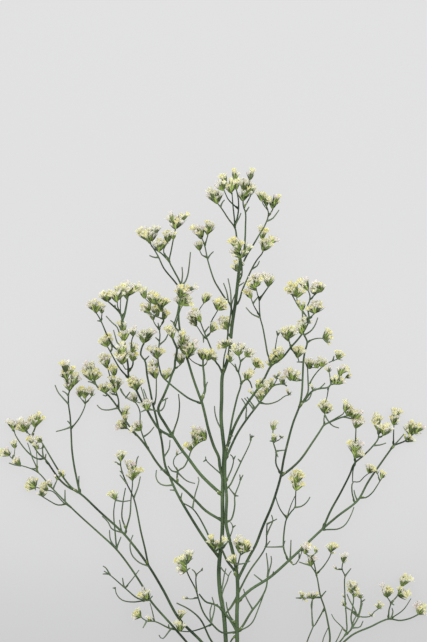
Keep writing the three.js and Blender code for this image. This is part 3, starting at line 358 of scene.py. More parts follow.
      [0.57, 84, [[131, 368], [126, 369.5], [122.5, 364]]],
    ], [
      [133, 336, 132, 326], [134, 335, 136, 330], [121, 363, 117, 353], [122, 362, 121, 348],
      [124, 360, 119, 342], [124, 360, 124, 341], [125, 360, 127, 352], [132, 361, 131, 352],
      [133, 361, 136, 351], [133, 352, 135, 343], [133, 352, 138, 345]]],
    ["spray_arc", "branch_crown_left", [
      [0.77, 50, [[202, 403.5], [190, 399], [180, 392], [169, 383], [162, 376], [160, 370],
        [158, 360], [158.5, 350], [160, 335], [159.5, 328.5], [162.5, 323]]],
      [0.57, 56, [[159.5, 330], [154, 322.5], [153, 318]]],
      [0.62, 66, [[162.3, 324], [164.5, 316], [160, 308], [156, 302]]],
      [0.52, 74, [[160.5, 309], [166.5, 302]]],
      [0.52, 64, [[157, 304], [149, 302], [145, 298]]],
      [0.52, 60, [[162, 318], [156, 316.5], [152, 314.5], [149, 311]]],
    ], [
      [145, 298, 142, 290], [149, 312, 143, 303], [148, 312, 147, 301], [149, 312, 142, 306],
      [153, 305, 149, 293], [154, 305, 152, 292], [155, 304, 155, 297], [160, 303, 159, 293],
      [161, 310, 162, 297], [164, 306, 168, 299], [159, 314, 155, 305], [160, 313, 158, 305],
      [164, 320, 166, 309], [153, 320, 152, 312], [157, 359, 151, 346], [157.5, 358, 155, 346],
      [158, 357, 158, 348], [158.5, 357, 162, 350], [165, 379, 166, 370], [166, 378, 169, 371]]],
    ["spray_centre_left", "branch_crown_left", [
      [0.67, 78, [[180, 332], [174.5, 326], [177, 315], [179, 304], [180.5, 298], [182, 296]]],
      [0.57, 74, [[175, 327], [178, 317], [181, 308], [183, 305]]],
    ], [
      [181, 298, 179, 283], [182, 297, 183, 286], [183, 298, 188, 288], [184, 298, 194, 283],
      [181, 306, 177, 297], [182, 306, 183, 295], [183, 306, 188, 295], [184, 306, 193, 302]]],
    ["spray_centre_a", "branch_crown_left", [
      [1.1, 44, [[202, 400], [205, 390], [204.5, 385], [204, 375], [203, 366], [203, 359]]],
      [0.52, 46, [[203, 366], [206, 364], [207.5, 360]]],
      [0.52, 50, [[203, 366], [196, 363.5], [191, 360], [187.5, 356]]],
    ], [
      [203, 360, 200, 348], [203, 360, 204, 347], [204, 359, 207, 351], [207.5, 360, 210, 350],
      [208, 360, 213, 352]]],
    ["spray_centre_b", "main_stem", [
      [0.8, 36, [[222, 374], [219, 366], [215.5, 361.5], [211, 348.5], [208, 341], [205, 334],
        [203, 329], [200.5, 322]]],
      [0.62, 44, [[206, 337], [211, 331.5], [211.5, 321.5], [215, 315], [218, 310]]],
      [0.62, 28, [[207, 339], [203.5, 336], [200, 331], [196.5, 325.5]]],
      [0.52, 30, [[200.5, 322], [197.5, 314], [201, 307], [204, 303], [206, 301]]],
    ], [
      [199, 322, 195, 313], [197, 326, 187, 312], [196, 325, 191, 309], [198, 325, 192, 321],
      [200, 322, 198, 314], [218, 310, 216, 298], [218, 310, 220, 299], [219, 309, 224, 298],
      [220, 308, 228, 304], [212, 331, 213, 323], [212, 332, 218, 325], [213, 333, 215, 329],
      [204, 303, 205, 294], [206, 302, 210, 294], [214, 361, 218, 357], [215, 361, 211, 351]]],
    ["spray_centre_c", "main_stem", [
      [0.72, 50, [[223, 372], [224, 358], [226.5, 347]]],
      [0.72, 54, [[226.5, 347], [227.6, 336.7], [228.6, 326.4], [230.2, 317.4], [232, 303],
        [236, 292]]],
    ], [
      [226, 347, 217, 343], [226, 346, 221, 341], [227, 346, 229, 339], [228, 346, 232, 340]]],
    ["spray_centre_d", "main_stem", [
      [0.62, 38, [[230.5, 338], [228, 333], [227, 328]]],
    ], [
      [226, 328, 220, 317], [226, 328, 223, 316], [227, 327, 230, 319], [226, 329, 221, 325]]],
    ["spray_centre_right", "second_stem", [
      [0.9, 62, [[227, 452], [229.5, 435], [232, 420], [237, 398], [241, 384], [239.5, 375],
        [238.5, 372.5], [240.5, 362], [238.5, 355]]],
      [0.8, 44, [[241, 384], [244, 380.5], [247, 379], [250, 382], [252, 388]]],
      [0.57, 58, [[241, 362], [246, 356.5]]],
      [0.52, 50, [[247, 379], [252, 373], [256, 367]]],
      [0.52, 52, [[238.5, 372.5], [235, 367], [230, 362]]],
    ], [
      [238, 354, 234, 347], [239, 354, 237, 343], [239, 354, 239, 345], [240, 355, 243, 342],
      [241, 354, 242, 348], [246, 356, 247, 349], [246, 356, 252, 350], [246, 356, 253, 353],
      [246, 379, 246, 373], [248, 379, 252, 373], [246, 378, 249, 371], [256, 367, 255, 358],
      [256, 367, 263, 364], [229, 362, 228, 354], [230, 362, 233, 356]]],
    ["spray_right_heads", "branch_upper_right", [
      [0.72, 74, [[271, 367], [270, 360], [267.8, 354.7], [265.3, 341], [262.7, 327], [260.5, 319],
        [259.5, 310], [259.2, 298]]],
      [0.57, 66, [[259.6, 316], [254, 306], [251, 298]]],
      [0.75, 80, [[259.3, 300], [264, 293], [269, 286]]],
      [0.52, 82, [[259.3, 300], [258, 296], [256.5, 290], [256, 286]]],
    ], [
      [256, 290, 247, 281], [256, 287, 261, 276], [256, 286, 258, 273], [256, 288, 253, 276],
      [251, 298, 245, 288], [251, 298, 248, 290], [268, 286, 265, 272], [269, 286, 272, 275],
      [268, 286, 268, 274], [273, 366, 268, 360], [273, 364, 272, 356], [270, 364, 279, 359],
      [270, 363, 276, 355]]],
    ["spray_high_right_a", "branch_upper_right", [
      [0.72, 60, [[309, 321], [303, 311.5], [299, 307], [296, 302], [291, 293]]],
      [0.52, 64, [[299, 306], [297, 300], [296.5, 295]]],
    ], [
      [297, 296, 286, 285], [297, 296, 290, 287], [297, 297, 301, 290], [296, 294, 292, 280],
      [297, 296, 294, 284], [303, 310, 302, 300], [302, 310, 302, 305]]],
    ["spray_high_right_b", "branch_upper_right", [
      [0.72, 80, [[308, 323], [309, 317], [308, 311], [307.5, 306], [309.5, 301], [310, 296],
        [308, 290]]],
      [0.57, 84, [[310, 300], [317, 293], [322, 291]]],
      [0.62, 74, [[309.4, 319], [315, 313]]],
    ], [
      [308, 290, 300, 279], [308, 289, 304, 279], [308, 290, 302, 278], [314, 293, 311, 287],
      [317, 292, 313, 283], [317, 292, 317, 281], [322, 291, 313, 289], [320, 291, 319, 281],
      [322, 291, 323, 284], [315, 313, 308, 304], [315, 313, 312, 302], [315, 312, 316, 301],
      [316, 311, 320, 301], [316, 311, 324, 302], [308, 323, 313, 322]]],
    ["spray_plume_a", "branch_right", [
      [0.77, 34, [[299.5, 405], [304, 400], [308, 392], [308, 380], [307.5, 367]]],
      [0.47, 30, [[307.5, 368], [312, 367.5], [318, 368]]],
      [0.57, 26, [[308, 386], [314, 376], [322, 367], [330, 362], [338, 359]]],
    ], [
      [309, 366, 308, 360], [309, 366, 311, 360], [308, 366, 309, 359], [311, 368, 312, 361],
      [316, 368, 315, 362], [317, 368, 318, 360], [322, 367, 320, 361], [323, 367, 325, 360],
      [322, 367, 322, 358], [340, 359, 338, 352], [341, 359, 342, 353], [340, 359, 344, 357]]],
    ["spray_plume_b", "branch_right", [
      [0.9, 52, [[298.5, 407], [306, 398.5], [312.4, 391], [320, 388.5], [328, 387.5],
        [331, 384.5], [340, 384]]],
      [0.57, 48, [[331, 384.5], [330, 377], [329, 371]]],
      [0.57, 44, [[336, 383], [342, 381], [346, 377.5]]],
      [0.52, 38, [[329, 387.5], [327, 397], [325.5, 402]]],
      [0.52, 52, [[336, 384], [338, 379], [340, 376], [341, 372]]],
    ], [
      [329, 372, 327, 366], [330, 372, 331, 366], [334, 384, 334, 376], [336, 384, 338, 378],
      [338, 384, 344, 380], [340, 383, 340, 378], [340, 376, 341, 367], [341, 374, 345, 366],
      [341, 373, 347, 369], [346, 378, 352, 376], [346, 378, 351, 374], [313, 390, 313.5, 385]]],
    ["spray_outer_right", "branch_right", [
      [0.95, 34, [[281, 476], [288, 471], [300, 460], [312, 443], [320, 431], [324, 425],
        [330, 422], [337, 419], [343, 417], [349, 418], [355, 420]]],
      [0.62, 26, [[324, 425], [324, 418], [325, 413]]],
      [0.62, 34, [[330, 421.5], [338, 417], [343, 414], [345.5, 409]]],
      [0.52, 30, [[343, 417], [346, 416], [349, 416]]],
    ], [
      [325, 413, 322, 402], [326, 413, 326, 401], [327, 413, 333, 406], [327, 413, 330, 411],
      [325, 413, 328, 403], [345, 411, 349, 401], [345, 411, 347, 402], [348, 416, 347, 408],
      [349, 416, 352, 408], [349, 416, 355, 412], [352, 418, 357, 410], [355, 420, 359, 411]]],
    ["spray_low_centre_a", "branch_right", [
      [0.72, 22, [[280.5, 474], [276, 464], [276, 452], [273, 441], [273, 430]]],
      [0.47, 14, [[274.5, 442], [279, 440], [281, 438]]],
    ], [
      [273, 430, 273, 421], [274, 430, 276, 425], [274, 441, 274, 434], [275, 441, 278, 437],
      [281, 438, 280, 434], [281, 438, 285, 437]]],
    ["spray_low_centre_b", "second_stem", [
      [0.95, 32, [[227.4, 460], [237, 434], [246.4, 419.7], [259.6, 402.6], [267, 393],
        [273, 386], [277, 384.5], [283.4, 384], [287, 386]]],
      [0.62, 18, [[259.6, 403], [268, 404], [278, 401], [285, 396], [289, 395]]],
      [0.52, 22, [[273, 386], [276, 381], [277.5, 378]]],
    ], [
      [277, 379, 275, 375], [272, 386, 269, 380], [271, 387, 267, 383], [278, 379, 276, 374],
      [279, 380, 281, 374], [282, 384, 281, 377], [284, 384, 285, 378], [289, 395, 289, 389],
      [290, 396, 293, 392], [261, 399, 257, 393], [263, 398, 264, 394], [262, 399, 260, 391],
      [266, 394, 263, 388], [267, 393, 265, 386]]],
    ["spray_far_right", "branch_far_right", [
      [0.72, LYING, [[391, 449], [393, 446], [405, 441], [412, 435], [418, 431]]],
      [0.62, 8, [[393.5, 445.5], [393.5, 436], [394, 425]]],
      [0.47, 9, [[394, 425], [395.5, 416]]],
      [0.52, LYING, [[405, 441], [410, 441.5]]],
    ], [
      [394, 425, 392, 415], [395, 425, 399, 421], [395, 416, 394, 408], [396, 416, 400, 410],
      [395, 424, 396, 412], [406, 440, 406, 435], [407, 440, 411, 436], [408, 441, 414, 438],
      [409, 434, 408, 419], [411, 431, 411, 421], [412, 431, 415, 423], [417, 431, 424, 431],
      [418, 431, 422, 424], [414, 431, 417, 424], [413, 431, 419, 434]]],
    ["spray_under_right", "branch_far_right", [
      [0.72, 30, [[288, 560], [284, 550], [283.5, 540], [285, 525], [286.5, 519], [291, 512],
        [295, 507], [295.5, 497], [296, 490], [297, 482]]],
      [0.57, 22, [[286, 518], [280, 509], [276, 498], [275.5, 494]]],
      [0.52, 26, [[286.5, 519], [291, 505], [295, 496]]],
    ], [
      [296, 490, 294, 480], [297, 490, 300, 482], [297, 484, 298, 474], [297, 482, 303, 470],
      [297, 482, 294, 470], [296, 486, 293, 476], [297, 482, 301, 473]]],
    ["spray_far_left_a", "branch_far_left", [
      [0.72, LYING, [[49, 464.5], [45, 459], [40, 455], [36, 450], [33, 444], [31, 436], [25, 431]]],
      [0.8, 6, [[31, 437], [34.7, 429], [36.5, 423]]],
      [0.67, 10, [[44, 458.5], [38, 459], [31, 455], [23.3, 447], [15, 434], [13.5, 428]]],
    ], [
      [22, 431, 16, 420], [23, 431, 20, 419], [24, 431, 23, 418], [24, 430, 28, 422],
      [25, 431, 18, 425], [35, 427, 34, 420], [36, 426, 41, 413], [35, 425, 33, 415],
      [35, 426, 31, 415], [36, 427, 38, 417], [14, 429, 8, 418], [15, 428, 15, 423],
      [14, 429, 11, 419], [33, 444, 29, 437], [34, 446, 35, 438]]],
    ["spray_far_left_b", "branch_far_left", [
      [0.85, 14, [[78, 492.5], [71, 487], [63, 477], [57, 468], [49.9, 456], [43.4, 445], [40, 440]]],
      [0.42, 10, [[44, 447], [40, 449], [38, 449]]],
      [0.47, 10, [[60, 475], [58, 480]]],
    ], [
      [40, 442, 37, 437], [41, 442, 43, 437], [40, 441, 39, 436], [40, 443, 36, 440],
      [38, 450, 36, 443], [38, 449, 39, 445], [60, 475, 60, 469], [62, 478, 64, 472],
      [58, 481, 56, 474]]],
    ["spray_low_left", "branch_low_left", [
      [0.67, 12, [[71, 507.3], [67, 503.5], [51, 487], [37.4, 472], [21.7, 465.7], [13, 464.5]]],
      [0.62, 9, [[67, 504], [58, 505], [48, 500], [40, 495]]],
      [0.57, 20, [[37.8, 472.5], [36, 466], [32, 457], [29, 447], [27.5, 443]]],
      [0.52, 16, [[36.5, 470], [37, 460], [36.5, 452]]],
      [0.52, 6, [[70, 506.5], [64, 503], [52, 491], [45, 490.5], [39, 488], [35, 487]]],
      [0.47, 6, [[20, 465], [17, 461], [12, 458.5], [9, 455]]],
      [0.42, 6, [[12, 458.5], [14, 457], [14.5, 452], [15, 448]]],
    ], [
      [20, 464, 14, 460], [20, 465, 17, 458], [19, 463, 18, 459], [15, 448, 16, 442],
      [15, 448, 12, 442], [15, 447, 14, 441], [9, 456, 5, 449], [10, 455, 9, 449],
      [9, 455, 0, 453], [8, 455, 7, 450], [35, 487, 30, 480], [35, 487, 34, 478],
      [35, 488, 27, 487], [34, 486, 28, 483], [50, 488, 47, 480], [51, 487, 50, 481],
      [47, 490, 43, 484], [48, 491, 45, 486], [46, 492, 45, 488], [41, 495, 38, 493],
      [42, 494, 42, 489], [43, 496, 45, 490]]],
    ["spray_tall_left", "branch_far_left", [
      [0.85, 22, [[80, 493.5], [77, 480], [74, 465], [72, 450], [71, 430], [70, 415], [68.5, 404],
        [69, 392], [71, 389], [75, 384], [79, 378]]],
      [0.62, 26, [[69.3, 391], [67, 382], [62, 374]]],
      [0.62, 5, [[71, 429], [80, 417], [85.6, 403.3], [85, 397]]],
      [0.52, 7, [[85.5, 404], [79, 396]]],
      [0.52, 7, [[85.7, 403], [92, 396]]],
      [0.52, 28, [[67.5, 384], [66.5, 378], [66, 372]]],
      [0.52, 25, [[72, 387], [71.5, 380], [71, 374]]],
    ], [
      [66, 378, 60, 370], [66, 372, 65, 361], [67, 379, 67, 368], [71, 374, 71, 366],
      [69, 381, 68, 376], [74, 385, 79, 374], [68, 390, 65, 383], [69, 390, 69, 381],
      [72, 388, 71, 378], [74, 384, 72, 374], [75, 382, 74, 372], [79, 396, 77, 391],
      [80, 397, 80, 388], [84, 397, 82, 390], [85, 397, 88, 388], [86, 398, 85, 390],
      [92, 396, 91, 389], [92, 396, 94, 390]]],
    ["spray_under_left", "branch_mid_left", [
      [0.72, 24, [[177.5, 483], [178, 471], [184, 467], [188.5, 458], [191.5, 450], [196, 445],
        [202, 441], [206, 440]]],
      [0.52, 22, [[178, 471], [173.5, 464], [174, 459], [177, 455], [183, 452]]],
    ], [
      [190, 450, 187, 444], [191, 449, 192, 444], [195, 447, 194, 441], [196, 446, 195, 425],
      [197, 446, 198, 431], [206, 440, 201, 427], [202, 442, 200, 430], [197, 446, 196, 436],
      [177, 456, 179, 451], [183, 453, 184, 449]]],
    ["spray_mid_left_a", "branch_mid_left", [
      [0.67, 24, [[118.5, 409], [118.5, 400], [116, 392], [112, 383], [108.5, 371], [106.5, 363]]],
      [0.47, 22, [[113, 386], [114, 380], [115, 374]]],
      [0.42, 22, [[116, 392], [118, 385]]],
      [0.47, 20, [[117, 396], [109, 392]]],
    ], [
      [115, 393, 111, 388], [116, 392, 113, 384], [116, 391, 118, 380], [115, 394, 110, 391],
      [106, 368, 103, 354], [106, 366, 107, 352], [107, 367, 105, 352], [115, 376, 114, 363],
      [114, 375, 117, 371], [113, 384, 111, 375], [118, 385, 119, 378]]],
    ["spray_mid_left_b", "branch_mid_left", [
      [0.62, 34, [[149, 451], [144, 439], [141, 430], [140, 423], [139.8, 411], [135, 402],
        [126, 397], [120, 388]]],
    ], [
      [138, 430, 132, 426], [140, 430, 139, 421], [139, 430, 134, 424], [135, 402, 132, 396],
      [136, 402, 137, 396], [135, 402, 134, 394]]],
    ["spray_low_tall_left", "branch_far_left", [
      [0.8, 30, [[148.5, 565], [145.3, 550], [141, 532], [134, 499], [127, 484], [122.5, 473],
        [120.5, 464], [121, 459]]],
      [0.52, 26, [[120.5, 465], [116, 462]]],
    ], [
      [121, 461, 119, 452], [122, 461, 123, 451], [121, 460, 120, 454], [116, 463, 114, 461]]],
    ["spray_low_pair_left", "branch_far_left", [
      [0.72, 15, [[124.5, 535], [127, 526], [130, 515], [131, 499], [132.5, 483], [132, 478]]],
      [0.67, 17, [[126, 529], [122, 518], [123, 502], [125.5, 488]]],
      [0.52, 13, [[132, 478], [129.5, 470], [125, 462]]],
      [0.47, 16, [[132.5, 481], [134, 476], [134, 471]]],
    ], [
      [130, 469, 129.5, 460], [134, 471, 132, 463], [133, 474, 131, 470], [134, 476, 139, 468],
      [133, 480, 129, 474], [134, 479, 136, 472], [132, 480, 131, 475], [132, 480, 132, 466]]],
    ["spray_low_single_left", "branch_low_left", [
      [0.67, 30, [[117, 549.5], [115, 531], [113.7, 512], [115.5, 499]]],
    ], [
      [116, 499, 112, 492], [116, 498, 115, 492], [116, 499, 118, 493]]],
    ["spray_hook_left", "branch_low_left", [
      [0.67, 26, [[150, 600], [146, 600], [138, 598.5], [125, 588], [110, 575], [104, 571]]],
      [0.62, 8, [[147, 600], [133, 602], [122, 600], [116.5, 594], [115, 587]]],
      [0.52, 22, [[125, 588], [134, 577], [139, 570]]],
    ], [
      [147, 599, 142, 593], [148, 599, 146, 588], [148, 598, 143, 590]]],
    ["spray_foot_left", "branch_low_left", [
      [0.67, 14, [[175.5, 629.5], [170, 628.5], [155, 621.5], [147, 621], [141, 617], [139, 614]]],
      [0.52, 20, [[154.5, 621.5], [152, 610], [150, 603]]],
    ], [
      [140, 617, 135, 608], [139, 618, 132, 617], [140, 618, 136, 612], [140, 617, 139, 612],
      [150, 621, 148, 616], [151, 621, 151, 616]]],
    ["spray_left_of_foot", "second_stem", [
      [0.8, 44, [[237.3, 632], [222, 632.5], [213, 625], [203.7, 613], [198, 597], [196, 590],
        [186.4, 569.6], [187, 560]]],
      [0.62, 42, [[197, 592], [196.5, 575], [202, 570]]],
      [0.52, 34, [[197.5, 598], [190, 599], [187, 598]]],
      [0.67, 20, [[212, 624], [203, 628], [190, 631.5], [179, 631]]],
      [1, 29, [[237.3, 624], [228, 617], [219, 607], [213, 604], [206, 602], [199, 594]]],
      [0.47, 44, [[187.4, 564], [190, 560]]],
    ], [
      [187, 566, 177, 562], [187, 566, 178, 557], [187, 565, 181, 556], [188, 561, 189, 552],
      [190, 560, 193, 554], [187, 570, 177, 573], [187, 570, 178, 566], [188, 599, 184, 597],
      [180, 631, 178, 622], [180, 631, 182, 624]]],
    ["spray_foot_main", "main_stem", [
      [0.72, 38, [[219.5, 557], [216, 553], [214, 547], [213, 543]]],
      [0.62, 34, [[215.5, 552], [219, 548], [220.5, 545]]],
    ], [
      [213, 547, 210, 537], [214, 550, 214, 538], [215, 549, 213, 543], [220, 547, 221, 538],
      [219, 548, 217, 543], [214, 548, 216, 540]]],
    ["spray_foot_second", "second_stem", [
      [0.67, 38, [[236.5, 571], [239, 560], [240.5, 553], [239.5, 545]]],
      [0.52, 40, [[240.2, 555], [246, 552]]],
      [0.57, 42, [[237.2, 567], [234, 563], [232, 560]]],
    ], [
      [240, 553, 238, 540], [240, 547, 238, 538], [240, 546, 242, 537], [244, 553, 241, 549],
      [246, 552, 248, 543], [246, 552, 243, 538], [246, 552, 251, 546], [246, 552, 245, 541],
      [234, 564, 228, 556], [234, 564, 232, 554], [235, 566, 236, 559]]],
    ["spray_low_right_tall", "branch_low_right", [
      [0.8, 34, [[328, 650], [330, 638], [327, 618], [324, 606], [320.5, 596], [316, 574],
        [310.5, 565]]],
      [0.62, 40, [[316.3, 576], [313, 560], [310.5, 557], [305, 553.5]]],
      [0.62, 28, [[316, 574], [323, 567], [330.5, 555], [331, 551]]],
      [0.57, 22, [[320.8, 597.5], [312, 598], [301, 598]]],
      [0.62, 14, [[324, 608], [319, 618], [313, 627], [312, 612], [311, 605], [312.5, 599]]],
      [0.47, 38, [[310.5, 557], [316, 553]]],
    ], [
      [310, 566, 307, 561], [310, 566, 313, 558], [310, 566, 312, 557], [305.5, 553, 306, 545],
      [305, 553, 309, 549], [305, 553, 307, 544], [316, 553, 316, 547], [316, 553, 318, 549],
      [331, 552, 329, 545], [331, 552, 332, 544], [331, 551, 335, 543], [331, 553, 335, 554],
      [312.5, 599, 310, 593], [312.5, 599, 315, 592], [302, 598, 302, 592], [302, 598, 305, 594],
      [303, 598, 305, 602], [309, 598, 307, 594]]],
    ["spray_low_right_far", "branch_low_right", [
      [0.9, LYING, [[318, 662.5], [336, 649], [353, 634.5], [370, 627], [388.5, 619],
        [400, 620.5], [411, 618], [419, 614]]],
      [0.67, 16, [[388.5, 619], [389, 610], [390.7, 603], [387, 597]]],
      [0.62, 10, [[390, 603.5], [398, 595], [400, 590], [402, 586]]],
      [0.52, 14, [[390, 619], [403.4, 609.7], [411, 598.5]]],
    ], [
      [387, 597, 384, 590], [387, 597, 385, 583], [387, 597, 390, 584], [387, 597, 391, 589],
      [398, 595, 408, 592], [398, 594, 403, 589], [399, 592, 400, 586], [402, 586, 404, 575],
      [402, 586, 409, 574], [402, 586, 406, 578], [398, 596, 410, 594], [419, 614, 418, 603],
      [419, 614, 421, 602], [419, 614, 426, 610], [419, 614, 423, 604]]],
    ["spray_low_right_mid", "branch_low_right", [
      [0.72, 38, [[309, 674.5], [326, 656], [346, 633], [346.5, 620], [345.5, 606], [344.5, 580],
        [345, 576], [342, 569], [343, 562]]],
      [0.72, 30, [[344, 635], [352, 628], [351, 618], [352.5, 608], [353.5, 597], [351, 592]]],
      [0.8, 24, [[352, 611], [357.5, 616], [361, 604], [361, 598]]],
      [0.57, 18, [[356, 616], [362, 617], [371, 616], [374, 612], [379, 608.5]]],
      [0.52, 24, [[347, 632], [340, 625], [334, 619], [331.5, 614]]],
      [0.52, 38, [[342, 569.5], [337, 569.5]]],
      [0.57, 16, [[330, 652], [337, 640], [343, 627]]],
      [0.57, 12, [[322, 661], [323, 640], [328, 628]]],
    ], [
      [345, 606, 342, 603], [345, 606, 344, 600], [346, 598, 344, 594], [343, 562, 344, 554],
      [343, 563, 347, 561], [337, 569.5, 334, 566], [352, 593, 350, 584], [352, 592, 353, 578],
      [353, 597, 357, 590], [352, 592, 348, 589], [352, 592, 352, 586], [352, 592, 358, 585],
      [361, 598, 357, 593], [361, 598, 360, 592], [361, 598, 364, 594], [371, 616.5, 374, 616],
      [371, 616, 370, 612], [379, 609, 380, 603], [379, 609, 384, 606], [379, 609, 377, 604]]],
]

